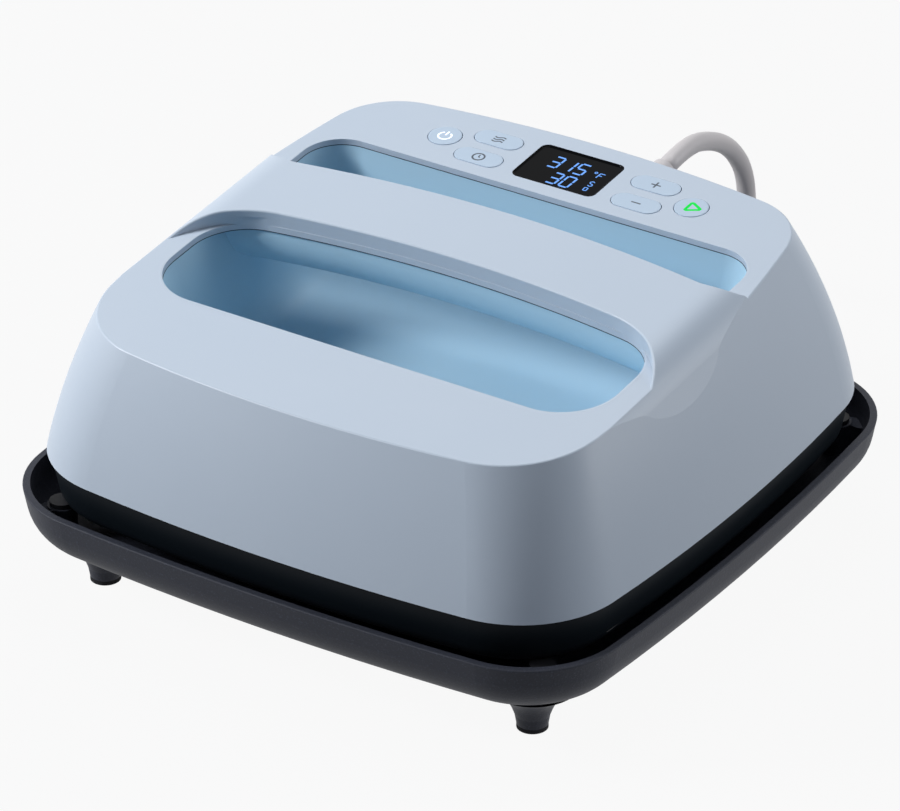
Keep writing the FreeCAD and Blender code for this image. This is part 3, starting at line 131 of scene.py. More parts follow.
# A profile of (side, up) pairs carried along a path: side is square to the path, up turns with the reference
def carried(path, profile, reference, closed=False):
    if closed:
        ahead = np.roll(path, -1, axis=0) - np.roll(path, 1, axis=0)
    else:
        ahead = np.gradient(path, axis=0)
    ahead = ahead / np.linalg.norm(ahead, axis=1, keepdims=True)
    side = np.cross(ahead, reference)
    side = side / np.linalg.norm(side, axis=1, keepdims=True)
    up = np.cross(side, ahead)
    profile = np.asarray(profile, float)
    across = profile[None, :, :1] * side[:, None, :]
    return path[:, None, :] + across + profile[None, :, 1:] * up[:, None, :]


# A circle as a profile
def roundProfile(radius, sides):
    angle = np.linspace(0, 2 * np.pi, sides, endpoint=False)
    return np.stack([radius * np.cos(angle), radius * np.sin(angle)], axis=1)


print("mains cord")
cordMake = {"diameter": 8 * mm, "ahead": 18 * mm, "sides": 18, "coilMiddle": 46 * mm, "coilPitch": 8.6 * mm,
            "lowTurns": 2.5, "climbTurns": 0.5, "highTurns": 2.25, "coilAcross": -97 * mm,
            "coilBehind": 84.6 * mm, "coilStart": 75, "tail": 45 * mm, "pointsPerTurn": 24, "dip": 0.3,
            "lastBend": 48 * mm, "exitRake": 12, "turnFrom": 0.07, "turnOver": 0.06}
# Route of the lead from its strain relief to its last bend, given as points, y behind the rim
leadRoute = [(0.005, 0.0506, 0.1008), (0.005, 0.0676, 0.0902), (0.005, 0.0805, 0.0730),
             (0.0046, 0.0836, 0.0515), (-0.001, 0.0966, 0.0306), (-0.014, 0.112, 0.016)]
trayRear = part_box("base_tray")[1][1]


# The end of the strain relief and the way it points, read from the node's own mesh
def reliefEnd():
    rake = math.radians(cordMake["exitRake"])
    heading = np.array([0, math.cos(rake), math.sin(rake)])
    points = nodePoints("strain_relief")
    reach = points @ heading
    return middleOf(points[reach > reach.max() - faceSlice]), heading


# Coil: the radius shrinks by one pitch a turn, dips inwards as it climbs a layer, then grows again
def coilPoints(make):
    total = make["lowTurns"] + make["climbTurns"] + make["highTurns"]
    turns = np.linspace(0, total, int(round(total * make["pointsPerTurn"])) + 1)
    pitch, low = make["coilPitch"], make["diameter"] / 2
    outer = make["coilMiddle"] + pitch * make["lowTurns"] / 2
    inner = outer - pitch * make["lowTurns"]
    share = np.clip((turns - make["lowTurns"]) / make["climbTurns"], 0, 1)
    grown = pitch * np.clip(turns - make["lowTurns"] - make["climbTurns"], 0, None)
    radius = np.maximum(outer - pitch * turns, inner) - make["dip"] * pitch * np.sin(np.pi * share) + grown
    height = low + pitch * share * share * (3 - 2 * share)
    angle = math.radians(make["coilStart"]) + 2 * np.pi * turns
    centre = np.array([make["coilAcross"], trayRear + make["coilBehind"]])
    flat = centre + radius[:, None] * np.stack([np.cos(angle), np.sin(angle)], axis=1)
    coil = np.column_stack([flat, height])
    leave = np.array([-math.sin(angle[-1]), math.cos(angle[-1]), 0])
    arrive = np.array([math.sin(angle[0]), -math.cos(angle[0]), 0])
    arrive += pitch / (2 * np.pi * outer) * np.array([math.cos(angle[0]), math.sin(angle[0]), 0])
    bend = coil[0] + make["lastBend"] * arrive / np.linalg.norm(arrive)
    return np.vstack([bend, coil, coil[-1] + make["tail"] * leave])


# The smooth line of the cord: one spline with the route and the coil's turns as its control points
def cordLine(controls):
    curve = bpy.data.curves.new("cordLine", "CURVE")
    curve.dimensions = "3D"
    curve.resolution_u = 6
    spline = curve.splines.new("NURBS")
    spline.points.add(len(controls) - 1)
    spline.points.foreach_set("co", np.column_stack([controls, np.ones(len(controls))]).ravel())
    spline.order_u = 3
    spline.use_endpoint_u = True
    holder = bpy.data.objects.new("cordLine", curve)
    bpy.context.scene.collection.objects.link(holder)
    bpy.context.view_layer.update()
    line = bpy.data.meshes.new_from_object(holder)
    flat = np.empty(len(line.vertices) * 3)
    line.vertices.foreach_get("co", flat)
    bpy.data.objects.remove(holder)
    bpy.data.meshes.remove(line)
    return flat.reshape(-1, 3)


# The cord's sheath: a circle carried along the line, its up turned from across while it hangs
# to upright in the coil
def makeCord(make):
    end, heading = reliefEnd()
    lead = np.array(leadRoute) + np.array([0, trayRear, 0])
    controls = np.vstack([end, end + make["ahead"] * heading, lead, coilPoints(make)])
    line = cordLine(controls)
    steps = np.linalg.norm(np.diff(line, axis=0), axis=1)
    run = np.concatenate([[0], np.cumsum(steps)])
    share = np.clip((run / run[-1] - make["turnFrom"]) / make["turnOver"], 0, 1)[:, None]
    reference = (1 - share) * np.array([1.0, 0, 0]) + share * np.array([0, 0, 1.0])
    tube = carried(line, roundProfile(make["diameter"] / 2, make["sides"]), reference)
    sheath = surfacePiece("mainsCord", [(tube, False, True, True)])
    print("cord length", round(float(run[-1]), 4))
    return sheath, line, float(run[-1]), end


sheath, cordPath, cordLong, cordExit = makeCord(cordMake)
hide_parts("cord_lead", "cord_coil")

tieMake = {"angle": 118, "inner": 31.4 * mm, "outer": 60.6 * mm, "high": 17.4 * mm, "bend": 5 * mm,
           "wide": 9 * mm, "thick": 0.7 * mm, "steps": 96, "tabStart": 0.02, "tabEnd": 0.2,
           "edgeShare": 0.96, "crownShare": 0.8, "crown": 1.1, "tabShare": 0.9}


# A rounded rectangle walked at even steps: straight sides and quarter circles in turn,
# from the middle of its top side
def loopOutline(halfWide, halfHigh, bend, steps):
    sides = [2 * (halfWide - bend), np.pi / 2 * bend, 2 * (halfHigh - bend), np.pi / 2 * bend] * 2
    marks = np.concatenate([[0], np.cumsum(sides)])
    travel = (np.arange(steps) / steps * marks[-1] + marks[1] / 2) % marks[-1]
    leg = np.clip(np.searchsorted(marks, travel, side="right") - 1, 0, 7)
    within = travel - marks[leg]
    corner = np.array([(1, 1), (1, 1), (1, -1), (1, -1), (-1, -1), (-1, -1), (-1, 1), (-1, 1)])[leg]
    begin = np.array([0, 90, 0, 0, 0, -90, 0, 180])[leg]
    inside = np.array([halfWide - bend, halfHigh - bend])
    angle = np.radians(begin) - within / bend
    arc = corner * inside + bend * np.stack([np.cos(angle), np.sin(angle)], axis=1)
    start = np.array([(-1, 1), (0, 0), (1, 1), (0, 0), (1, -1), (0, 0), (-1, -1), (0, 0)])[leg]
    way = np.array([(1, 0), (0, 0), (0, -1), (0, 0), (-1, 0), (0, 0), (0, 1), (0, 0)])[leg]
    reach = np.array([(1, 0), (0, 0), (0, 1), (0, 0), (1, 0), (0, 0), (0, 1), (0, 0)])[leg]
    straight = start * (inside + bend * (1 - reach)) + way * within[:, None]
    return np.where((leg % 2 == 1)[:, None], arc, straight)


# Hook and loop tie: a flat strap's profile carried round the bundle, with its end laid over on top
def makeTie(make):
    angle = math.radians(make["angle"])
    outward = np.array([math.cos(angle), math.sin(angle), 0])
    centre = np.array([cordMake["coilAcross"], trayRear + cordMake["coilBehind"], 0])
    half = np.array([(make["outer"] - make["inner"]) / 2, make["high"] / 2])
    flat = loopOutline(half[0], half[1], make["bend"], make["steps"])
    middle = centre + outward * (make["inner"] + half[0]) + np.array([0, 0, half[1] + make["thick"] / 2])
    path = middle + flat[:, :1] * outward + flat[:, 1:] * np.array([0, 0, 1.0])
    along = np.cross(outward, [0, 0, 1.0])
    halfWide, halfThick = make["wide"] / 2, make["thick"] / 2
    edge, inner = halfWide * make["edgeShare"], halfWide * make["crownShare"]
    crown = halfThick * make["crown"]
    strap = [(-halfThick, -edge), (halfThick, -edge), (crown, -inner),
             (crown, inner), (halfThick, edge), (-halfThick, edge)]
    loop = carried(path, strap, along, closed=True)
    first, count = int(make["tabStart"] * make["steps"]), int(make["tabEnd"] * make["steps"])
    tabPath = np.roll(path, -first, axis=0)[:count]
    outwards = (tabPath - middle) / np.linalg.norm(tabPath - middle, axis=1, keepdims=True)
    lifted = tabPath + outwards * make["thick"]
    tab = carried(lifted, [(side * make["tabShare"], up * make["tabShare"]) for side, up in strap], along)
    return surfacePiece("cordTie", [(loop, True, True, False), (tab, False, True, True)])


cordTie = makeTie(tieMake)
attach(cordTie, "safety_base")
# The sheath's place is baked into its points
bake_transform(sheath)

print("control panel")
# The panel's own axes, read from the way its keys move: across, up the slope, and out of the face
joints = {joint["name"]: joint for joint in frame["record"]["behaviour"]["joints"]}
panelOut = -np.array(joints["start_press"]["axis"], float)
panelOut = panelOut / np.linalg.norm(panelOut)
panelAcross = np.array([1.0, 0, 0])
panelUp = np.cross(panelOut, panelAcross)
panelMake = {"keyProud": 0.2 * mm, "keyGap": 0.35 * mm}
panelLevel = (nodePoints("start_button") @ panelOut).max() - panelMake["keyProud"]
panelOrigin = np.array([0, 0, panelLevel / panelOut[2]])


# Panel coordinates to the frame: across, up the slope and height over the face
def onPanel(points):
    points = np.asarray(points, float)
    flat = panelOrigin + points[..., :1] * panelAcross + points[..., 1:2] * panelUp
    return flat + points[..., 2:] * panelOut


# The middle and half sizes of a node's top face, in panel coordinates
def faceOnPanel(name):
    local = nodePoints(name) - panelOrigin
    local = np.stack([local @ panelAcross, local @ panelUp, local @ panelOut], axis=1)
    top = local[local[:, 2] > local[:, 2].max() - faceSlice]
    return middleOf(top), (top.max(axis=0) - top.min(axis=0)) / 2


# A pill outline grown by a distance: half circles on both ends of a middle line,
# a circle where that line has no length
def pillRing(middle, half, grow, steps=72):
    angle = (np.arange(steps) + 0.5) / steps * 2 * np.pi
    radius = half[1] + grow
    x = np.sign(np.cos(angle)) * (half[0] - half[1]) + radius * np.cos(angle)
    return np.stack([middle[0] + x, middle[1] + radius * np.sin(angle)], axis=1)


# Rings of one outline family at given growths and heights, as a grid on the panel
def ringsOnPanel(outline, profile):
    outlines = [outline(grow) for grow, height in profile]
    rings = [np.column_stack([ring, np.full(len(ring), height)])
             for ring, (grow, height) in zip(outlines, profile)]
    return onPanel(np.stack(rings))


# Growth from the key's edge and height over the panel, up the skirt and over the rim
capEdge = [(0, -0.5 * mm), (0, 0.02 * mm), (-0.05 * mm, 0.14 * mm), (-0.16 * mm, 0.22 * mm),
           (-0.34 * mm, 0.26 * mm), (-0.9 * mm, 0.27 * mm)]
capMake = {"out": 0.06 * mm, "crown": 0.3 * mm, "rim": 0.26 * mm, "topFrom": 0.75, "topRings": 7}
# Growth from the keyhole's edge and height, out of the gap and over the lip into the panel
lipEdge = [(0, -0.5 * mm), (0, -0.2 * mm), (0.06 * mm, -0.05 * mm), (0.2 * mm, 0.04 * mm),
           (0.45 * mm, 0.05 * mm), (0.8 * mm, 0.02 * mm), (1.1 * mm, -0.02 * mm)]
lipInset = 0.05 * mm
keyNames = ["power", "heat", "timer", "plus", "minus", "start"]


# Cap skin: rings of the key's outline drawn in to its middle line; the rim follows the edge's table, and over
# the top the height is the crown less the square of the share still to go
def makeCap(name, make):
    middle, half = faceOnPanel(f"{name}_button")
    rim, crown = make["rim"], make["crown"]
    profile = [(make["out"] + grow, height) for grow, height in capEdge]
    inwards = np.linspace(make["topFrom"], 0.0, make["topRings"])
    profile += [(-half[1] * (1 - share), crown - (crown - rim) * share * share) for share in inwards]
    grid = ringsOnPanel(lambda grow: pillRing(middle, half, grow), profile)
    cap = surfacePiece(f"{name}KeyCap", [(grid, False, True, False)])
    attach(cap, f"{name}_key")
    return cap


# Rounded lip of a keyhole: rings of the key's outline that rise out of the gap, roll over and run out
def lipGrid(name, start):
    middle, half = faceOnPanel(f"{name}_button")
    profile = [(start + grow, height) for grow, height in lipEdge]
    return ringsOnPanel(lambda grow: pillRing(middle, half, grow), profile), False, True, False


capPieces = [makeCap(name, capMake) for name in keyNames]
keyholeLips = surfacePiece("keyholeLips",
                           [lipGrid(name, panelMake["keyGap"] - lipInset) for name in keyNames])
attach(keyholeLips, "press")


# A rounded rectangle grown by a distance, walked as four quarter circles joined by straight sides
def roundedRing(middle, half, bend, grow, steps=20):
    angle = np.linspace(0, np.pi / 2, steps)
    quarters = []
    for turn, signs in enumerate([(1, 1), (-1, 1), (-1, -1), (1, -1)]):
        around = angle + turn * np.pi / 2
        centre = np.array([middle[axis] + signs[axis] * (half[axis] - bend) for axis in (0, 1)])
        quarters.append(centre + (bend + grow) * np.stack([np.cos(around), np.sin(around)], axis=1))
    return np.concatenate(quarters)


bezelMake = {"bend": 3.2 * mm, "gap": 0.25 * mm}
# Growth from the window's hole and height, over the hole's edge and down to the glass
bezelEdge = [(0.2 * mm, -0.2 * mm), (0.2 * mm, 0.02 * mm), (0.05 * mm, 0.07 * mm), (-0.15 * mm, 0.03 * mm),
             (-0.3 * mm, -0.15 * mm), (-0.4 * mm, -0.45 * mm), (-0.6 * mm, -0.53 * mm),
             (-0.9 * mm, -0.65 * mm)]
glassMiddle, glassHalf = faceOnPanel("display_window")


# Display bezel: rings that roll over the hole's edge, fall to the window and end on the glass
def makeBezel(make):
    half = glassHalf[:2] + make["gap"]
    grid = ringsOnPanel(lambda grow: roundedRing(glassMiddle, half, make["bend"], grow), bezelEdge)
    bezel = surfacePiece("displayBezel", [(grid, False, True, False)])
    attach(bezel, "press")
    return bezel


bezel = makeBezel(bezelMake)


strokeTop = 0.86


# A raised stroke: a low flat topped profile carried along a line on the panel, closed or with square ends
def strokeGrid(line, wide, level, thick, closed=False):
    line = np.asarray(line, float)
    path = onPanel(np.column_stack([line, np.full(len(line), level)]))
    foot, top = wide / 2, wide / 2 * strokeTop
    profile = [(-foot, 0), (-top, thick), (top, thick), (foot, 0)]
    return carried(path, profile, panelOut, closed), closed, True, not closed


# Points of an arc about a middle, angles in degrees
def arcLine(middle, radius, start, end, steps=40):
    angle = np.radians(np.linspace(start, end, steps))
    return np.stack([middle[0] + radius * np.cos(angle), middle[1] + radius * np.sin(angle)], axis=1)


# A straight line in a few points
def straightLine(start, end):
    share = np.linspace(0, 1, 3)[:, None]
    return np.array(start) * (1 - share) + np.array(end) * share


iconMake = {"level": 0.29 * mm, "thick": 0.05 * mm, "line": 0.8 * mm,
            "ring": 2.75 * mm, "ringStart": 122, "ringEnd": 418, "ringDrop": 0.2 * mm, "ringLine": 0.75 * mm,
            "barLow": 0.2 * mm, "barHigh": 3.3 * mm,
            "wave": 5.0 * mm, "waveStep": 1.55 * mm, "sway": 0.45 * mm, "waveLine": 0.7 * mm,
            "clock": 2.5 * mm, "hand": 1.5 * mm, "shortHand": (0.8 * mm, -0.4 * mm), "handLine": 0.6 * mm,
            "corner": 2.75 * mm, "cornerBend": 0.55 * mm, "cornerShift": 0.5 * mm, "playLine": 1.35 * mm,
            "arm": 2.15 * mm}


# A broken ring about the key's middle with an upright bar through its gap
def powerStrokes(x, y, make):
    ring = arcLine((x, y - make["ringDrop"]), make["ring"], make["ringStart"], make["ringEnd"])
    bar = straightLine((x, y + make["barLow"]), (x, y + make["barHigh"]))
    return [(ring, make["ringLine"], False), (bar, make["ringLine"], False)]


# Three lying waves one above the other, each a sine once along its length
def heatStrokes(x, y, make):
    along = np.linspace(-0.5, 0.5, 24)
    sway = make["sway"] * np.sin(2 * np.pi * along)
    waves = [np.stack([x + along * make["wave"], y + shift * make["waveStep"] + sway], axis=1)
             for shift in (-1, 0, 1)]
    return [(wave, make["waveLine"], False) for wave in waves]


# A clock: a closed ring and two hands from its middle
def timerStrokes(x, y, make):
    ring = arcLine((x, y), make["clock"], 0, 360, 49)[:-1]
    across, down = make["shortHand"]
    hands = [straightLine((x, y), (x, y + make["hand"])), straightLine((x, y), (x + across, y + down))]
    return [(ring, make["line"], True)] + [(hand, make["handLine"], False) for hand in hands]


# A triangle that points across: three corner arcs a third of a turn apart, joined by their own ends
def startStrokes(x, y, make):
    corners = []
    for turn in (0, 120, 240):
        angle = math.radians(turn)
        across, up = make["corner"] * math.cos(angle), make["corner"] * math.sin(angle)
        middle = (x + make["cornerShift"] + across, y + up)
        corners.append(arcLine(middle, make["cornerBend"], turn - 60, turn + 60, 9))
    return [(np.concatenate(corners), make["playLine"], True)]


# One level bar
def minusStrokes(x, y, make):
    return [(straightLine((x - make["arm"], y), (x + make["arm"], y)), make["line"], False)]


# A level and an upright bar
def plusStrokes(x, y, make):
    upright = straightLine((x, y - make["arm"]), (x, y + make["arm"]))
    return minusStrokes(x, y, make) + [(upright, make["line"], False)]


# Each key's sign: lines about the key's middle, with the stroke's width and whether it closes
iconStrokes = {"power": powerStrokes, "heat": heatStrokes, "timer": timerStrokes,
               "plus": plusStrokes, "minus": minusStrokes, "start": startStrokes}


iconPieces = {}
for name in keyNames:
    middle, half = faceOnPanel(f"{name}_button")
    grids = [strokeGrid(line, wide, iconMake["level"], iconMake["thick"], closed)
             for line, wide, closed in iconStrokes[name](middle[0], middle[1], iconMake)]
    iconPieces[name] = surfacePiece(f"{name}KeyIcon", grids, smooth=False)
    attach(iconPieces[name], f"{name}_key")

digitMake = {"high": 8.0 * mm, "wide": 4.1 * mm, "pitch": 6.0 * mm, "stroke": 0.85 * mm, "lean": 0.05,
             "level": -0.6 * mm, "thick": 0.08 * mm, "gap": 0.32 * mm, "lastColumn": 1.8 * mm,
             "rows": [("315", -0.1 * mm), ("30", -10.9 * mm)]}
digitBars = {"3": "abcdg", "1": "bc", "5": "acdfg", "0": "abcdef"}
# Unit signs by the numbers, from the window's middle in mm: bars by their ends, arcs by middle and angles,
# and two closed rings
unitMake = {"line": 0.45 * mm, "ringLine": 0.4 * mm, "arcRadius": 0.9 * mm,
            "bars": [((12.2, 1.2), (12.4, 4.8)), ((12.4, 4.8), (14.6, 4.8)), ((12.3, 3.1), (13.9, 3.1))],
            "arcs": [((13.2, -2.9), 30, 270), ((13.2, -4.7), 90, -150)],
            "degree": (10.5, 4.5), "degreeRadius": 0.55 * mm,
            "nought": (13.1, -8.2), "noughtHalf": (0.75 * mm, 1.1 * mm), "noughtBend": 0.3 * mm}


# One lit digit: up to seven bars round two squares, leaning a little to the right
def digitStrokes(sign, left, low, make):
    wide, high, gap = make["wide"], make["high"], make["gap"]
    middle = high / 2
    ends = {"a": ((gap, high), (wide - gap, high)), "b": ((wide, high - gap), (wide, middle + gap)),
            "c": ((wide, middle - gap), (wide, gap)), "d": ((gap, 0), (wide - gap, 0)),
            "e": ((0, gap), (0, middle - gap)), "f": ((0, middle + gap), (0, high - gap)),
            "g": ((gap, middle), (wide - gap, middle))}
    lines = []
    for bar in digitBars[sign]:
        line = straightLine(*ends[bar])
        line[:, 0] += make["lean"] * line[:, 1] + left
        line[:, 1] += low
        lines.append(line)
    return lines


# A place on the window, from its middle, given in mm
def onGlass(place):
    return glassMiddle[0] + place[0] * mm, glassMiddle[1] + place[1] * mm


# What the display shows: rows of digits that end in one column, and the small unit signs beside them
def makeDisplaySigns(make, units):
    bold = []
    for row, height in make["rows"]:
        for column, sign in enumerate(row, 1 - len(row)):
            left = glassMiddle[0] + make["lastColumn"] + column * make["pitch"]
            bold += digitStrokes(sign, left, glassMiddle[1] + height, make)
    fine = [straightLine(onGlass(start), onGlass(end)) for start, end in units["bars"]]
    fine += [arcLine(onGlass(middle), units["arcRadius"], start, end, 16)
             for middle, start, end in units["arcs"]]
    rings = [arcLine(onGlass(units["degree"]), units["degreeRadius"], 0, 360, 17)[:-1],
             roundedRing(onGlass(units["nought"]), units["noughtHalf"], units["noughtBend"], 0, 5)]
    level, thick = make["level"], make["thick"]
    grids = [strokeGrid(line, make["stroke"], level, thick) for line in bold]
    grids += [strokeGrid(line, units["line"], level, thick) for line in fine]
    grids += [strokeGrid(line, units["ringLine"], level, thick, True) for line in rings]
    signs = surfacePiece("displaySigns", grids, smooth=False)
    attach(signs, "press")
    return signs


displaySigns = makeDisplaySigns(digitMake, unitMake)

print("foot collars")
collarMake = {"sides": 48, "steps": 4, "softening": 5}
# Radius and height of the collar, from the foot up to the tray
collarProfile = [(6.7 * mm, 5.4 * mm), (7.5 * mm, 7.6 * mm), (8.3 * mm, 9.8 * mm), (9.4 * mm, 11.9 * mm),
                 (10.9 * mm, 13.9 * mm), (12.9 * mm, 15.9 * mm), (15.6 * mm, 17.9 * mm),
                 (19.0 * mm, 20.2 * mm)]


# Collar of each foot: a radius and height profile turned about the foot's middle line, each radius the mean
# of those around it so that the collar runs smooth
def footCollars(make):
    radius, height = np.array(collarProfile).T
    marks = np.arange(len(radius))
    fine = np.linspace(0, len(radius) - 1, (len(radius) - 1) * make["steps"] + 1)
    radius, height = np.interp(fine, marks, radius), np.interp(fine, marks, height)
    count = make["softening"]
    padded = np.pad(radius, count // 2, mode="reflect", reflect_type="odd")
    soft = np.convolve(padded, np.ones(count) / count, mode="valid")
    angle = np.linspace(0, 2 * np.pi, make["sides"], endpoint=False)
    turned = np.stack([soft[:, None] * np.cos(angle), soft[:, None] * np.sin(angle),
                       np.repeat(height[:, None], make["sides"], axis=1)], axis=-1)
    feet = nodePoints("foot_pads")
    spread = np.abs(feet[:, :2])
    middle = (spread.min(axis=0) + spread.max(axis=0)) / 2
    grids = [(turned + np.array([across * middle[0], ahead * middle[1], 0]), False, True, False)
             for across in (-1, 1) for ahead in (-1, 1)]
    return surfacePiece("footCollars", grids)


feetCollars = footCollars(collarMake)
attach(feetCollars, "safety_base")

print("lips of the hand well and the finger slot")
plateHalf = float(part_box("heat_plate")[1][0])
shellReach = 18 * mm
shellHalf = plateHalf + shellReach
# Both openings as the shell has them: the handle's bowed edges and the far edges inside the shell's low edge
wellMake = {"handleLine": 17.25 * mm, "handleHalf": 19.25 * mm, "handleBow": 550 * mm,
            "half": shellHalf - 29.8 * mm, "front": shellHalf - 62.8 * mm, "rear": shellHalf - 69 * mm,
            "corner": 24 * mm, "slotCorner": 17 * mm, "fitGap": 0.3 * mm, "bowSteps": 60, "arcSteps": 24}


# Outline of one opening, grown by a distance: the handle's bow if asked, then on each side a corner arc that
# touches the bow and one that touches the far edge
def openingRing(side, make, grow, withBow=True):
    near, far = (make["corner"], make["corner"]) if side < 0 else (make["slotCorner"] / 2, make["slotCorner"])
    edge = -make["front"] if side < 0 else make["rear"]
    axis = np.array([0, make["handleLine"] - make["handleBow"]])
    bowed = make["handleBow"] + side * (make["handleHalf"] + make["fitGap"])
    cornerReach, across = bowed + side * near, make["half"] - near
    nearCentre = axis + np.array([across, math.sqrt(cornerReach ** 2 - across ** 2)])
    farCentre = np.array([make["half"] - far, edge - side * far])
    meeting = math.degrees(math.atan2(nearCentre[0] - axis[0], nearCentre[1] - axis[1]))
    reach = bowed - side * grow
    bow = arcLine(axis, reach, 90 + meeting, 90 - meeting, make["bowSteps"])
    toArc = 90 - meeting if side < 0 else 270 - meeting
    right = arcLine(nearCentre, near + grow, toArc, 0 if side < 0 else 360, make["arcSteps"])
    lower = arcLine(farCentre, far + grow, 0, 90 * side, make["arcSteps"])
    rim = np.concatenate([right, lower])
    rim = np.concatenate([rim, rim[::-1] * np.array([-1, 1])])
    return np.concatenate([bow[1:-1], rim]) if withBow else rim


lipMake = {"fade": 0.12, "sink": 0.5 * mm}


# Lip along an opening's far side: the profile's rings, sunk into the wall where they near the handle; what is
# left of the sinking falls as one less three times the square and plus twice the cube of the way from the end
def lipStrip(side, profile):
    rings = []
    for grow, height in profile:
        rim = openingRing(side, wellMake, grow, withBow=False)
        share = np.linspace(0, 1, len(rim))
        near = np.clip(np.minimum(share, 1 - share) / lipMake["fade"], 0, 1)
        sunk = height - lipMake["sink"] * (1 - near * near * (3 - 2 * near))
        rings.append(np.column_stack([rim, sunk]))
    return onPanel(np.stack(rings))


# Growth and height of the lips' rings, then of the dark strip that is the seam's painted shadow
lipProfile = [(0.0, -1.6 * mm), (-0.02 * mm, -0.5 * mm), (0.08 * mm, -0.18 * mm), (0.3 * mm, 0.01 * mm),
              (0.6 * mm, 0.06 * mm), (1.0 * mm, 0.04 * mm), (1.5 * mm, -0.03 * mm)]
seamProfile = [(0.1 * mm, -2.5 * mm), (-0.14 * mm, -2.54 * mm), (-0.16 * mm, -2.8 * mm),
               (0.1 * mm, -2.84 * mm)]
openingLips = surfacePiece("openingLips", [(lipStrip(side, lipProfile), False, False, False)
                                           for side in (-1, 1)])
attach(openingLips, "press")
# The seam's strip is painted shadow: a dark band set in the gap where the shade falls
seamGrids = [ringsOnPanel(lambda grow: openingRing(side, wellMake, grow), seamProfile) for side in (-1, 1)]
wellSeamShadow = surfacePiece("wellSeamShadow", [(grid, False, True, False) for grid in seamGrids])
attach(wellSeamShadow, "press")

print("materials")


# Colours are written as sRGB hex and turned to linear here
def linearColour(hexText, alpha=1.0):
    parts = [int(hexText[i:i + 2], 16) / 255 for i in (1, 3, 5)]
    return [c / 12.92 if c <= 0.04045 else ((c + 0.055) / 1.055) ** 2.4 for c in parts] + [alpha]


# Adds one node: settings are its properties, inputs its values, links its incoming sockets
def addNode(tree, kind, settings=None, inputs=None, links=None):
    node = tree.nodes.new(kind)
    for name, value in (settings or {}).items():
        setattr(node, name, value)
    for name, value in (inputs or {}).items():
        node.inputs[name].default_value = value
    for name, socket in (links or {}).items():
        tree.links.new(socket, node.inputs[name])
    return node


# What the finishes share where their own line doesn't say otherwise
common = {"driftSize": 0.05, "detail": 2.0, "fleckShare": 0.6, "bump": 0.1, "metallic": 0.0, "ior": 1.5,
          "coat": 0.0, "sheen": 0.0, "glow": 0.0}
noiseMake = {"driftDetail": 3.0, "driftRough": 0.5, "grainRough": 0.6, "fleckFrom": 0.56, "fleckFull": 0.7,
             "trackWidth": 0.06, "trackOffset": 0.5, "coatRough": 0.08}


# Every finish: a slow colour drift, a pattern of the material's own (on the tray its flecks are painted
# highlight), fine grain bump and uneven gloss
def makeFinish(name, own):
    look = {**common, **own}
    material = bpy.data.materials.new(name)
    material.use_nodes = True
    tree = material.node_tree
    tree.nodes.clear()
    place = addNode(tree, "ShaderNodeTexCoord").outputs["Object"]
    if "stretch" in look:
        place = addNode(tree, "ShaderNodeMapping", None, {"Scale": look["stretch"]},
                        {"Vector": place}).outputs["Vector"]
    drift = addNode(tree, "ShaderNodeTexNoise", None,
                    {"Scale": 1 / look["driftSize"], "Detail": noiseMake["driftDetail"],
                     "Roughness": noiseMake["driftRough"]},
                    {"Vector": place})
    colour = addNode(tree, "ShaderNodeMix", {"data_type": "RGBA"},
                     {6: linearColour(look["colour"]), 7: linearColour(look["shade"])},
                     {0: drift.outputs["Fac"]}).outputs[2]
    grain = addNode(tree, "ShaderNodeTexNoise", None,
                    {"Scale": 1 / look["grainSize"], "Detail": look["detail"],
                     "Roughness": noiseMake["grainRough"]},
                    {"Vector": place})
    height = grain.outputs["Fac"]
    # Lighter flecks on the grain's peaks: spangle and fibres where they are the material's own, painted
    # highlight on the tray
    if "fleck" in look:
        picked = addNode(tree, "ShaderNodeMapRange", None,
                         {"From Min": noiseMake["fleckFrom"], "From Max": noiseMake["fleckFull"],
                          "To Min": 0.0, "To Max": look["fleckShare"]}, {"Value": height})
        colour = addNode(tree, "ShaderNodeMix", {"data_type": "RGBA"}, {7: linearColour(look["fleck"])},
                         {0: picked.outputs["Result"], 6: colour}).outputs[2]
    if "tracks" in look:
        tracks = addNode(tree, "ShaderNodeTexBrick", {"offset": noiseMake["trackOffset"]},
                         {"Color1": linearColour(look["colour"]), "Color2": linearColour(look["shade"]),
                          "Mortar": linearColour(look["tracks"]), "Scale": 1 / look["trackPitch"],
                          "Mortar Size": noiseMake["trackWidth"], "Bias": 0.0}, {"Vector": place})
        colour = tracks.outputs["Color"]
        height = tracks.outputs["Fac"]
    low, high = look["roughness"]
    gloss = addNode(tree, "ShaderNodeMapRange", None, {"To Min": low, "To Max": high},
                    {"Value": grain.outputs["Fac"]})
    bump = addNode(tree, "ShaderNodeBump", None,
                   {"Strength": look["bump"], "Distance": look["depth"]}, {"Height": height})
    single = {"Metallic": look["metallic"], "IOR": look["ior"],
              "Coat Weight": look["coat"], "Coat Roughness": noiseMake["coatRough"],
              "Sheen Weight": look["sheen"], "Emission Strength": look["glow"],
              "Emission Color": linearColour(look.get("lit", look["colour"]))}
    shader = addNode(tree, "ShaderNodeBsdfPrincipled", None, single,
                     {"Base Color": colour, "Roughness": gloss.outputs["Result"],
                      "Normal": bump.outputs["Normal"]})
    addNode(tree, "ShaderNodeOutputMaterial", None, None, {"Surface": shader.outputs["BSDF"]})
    return material


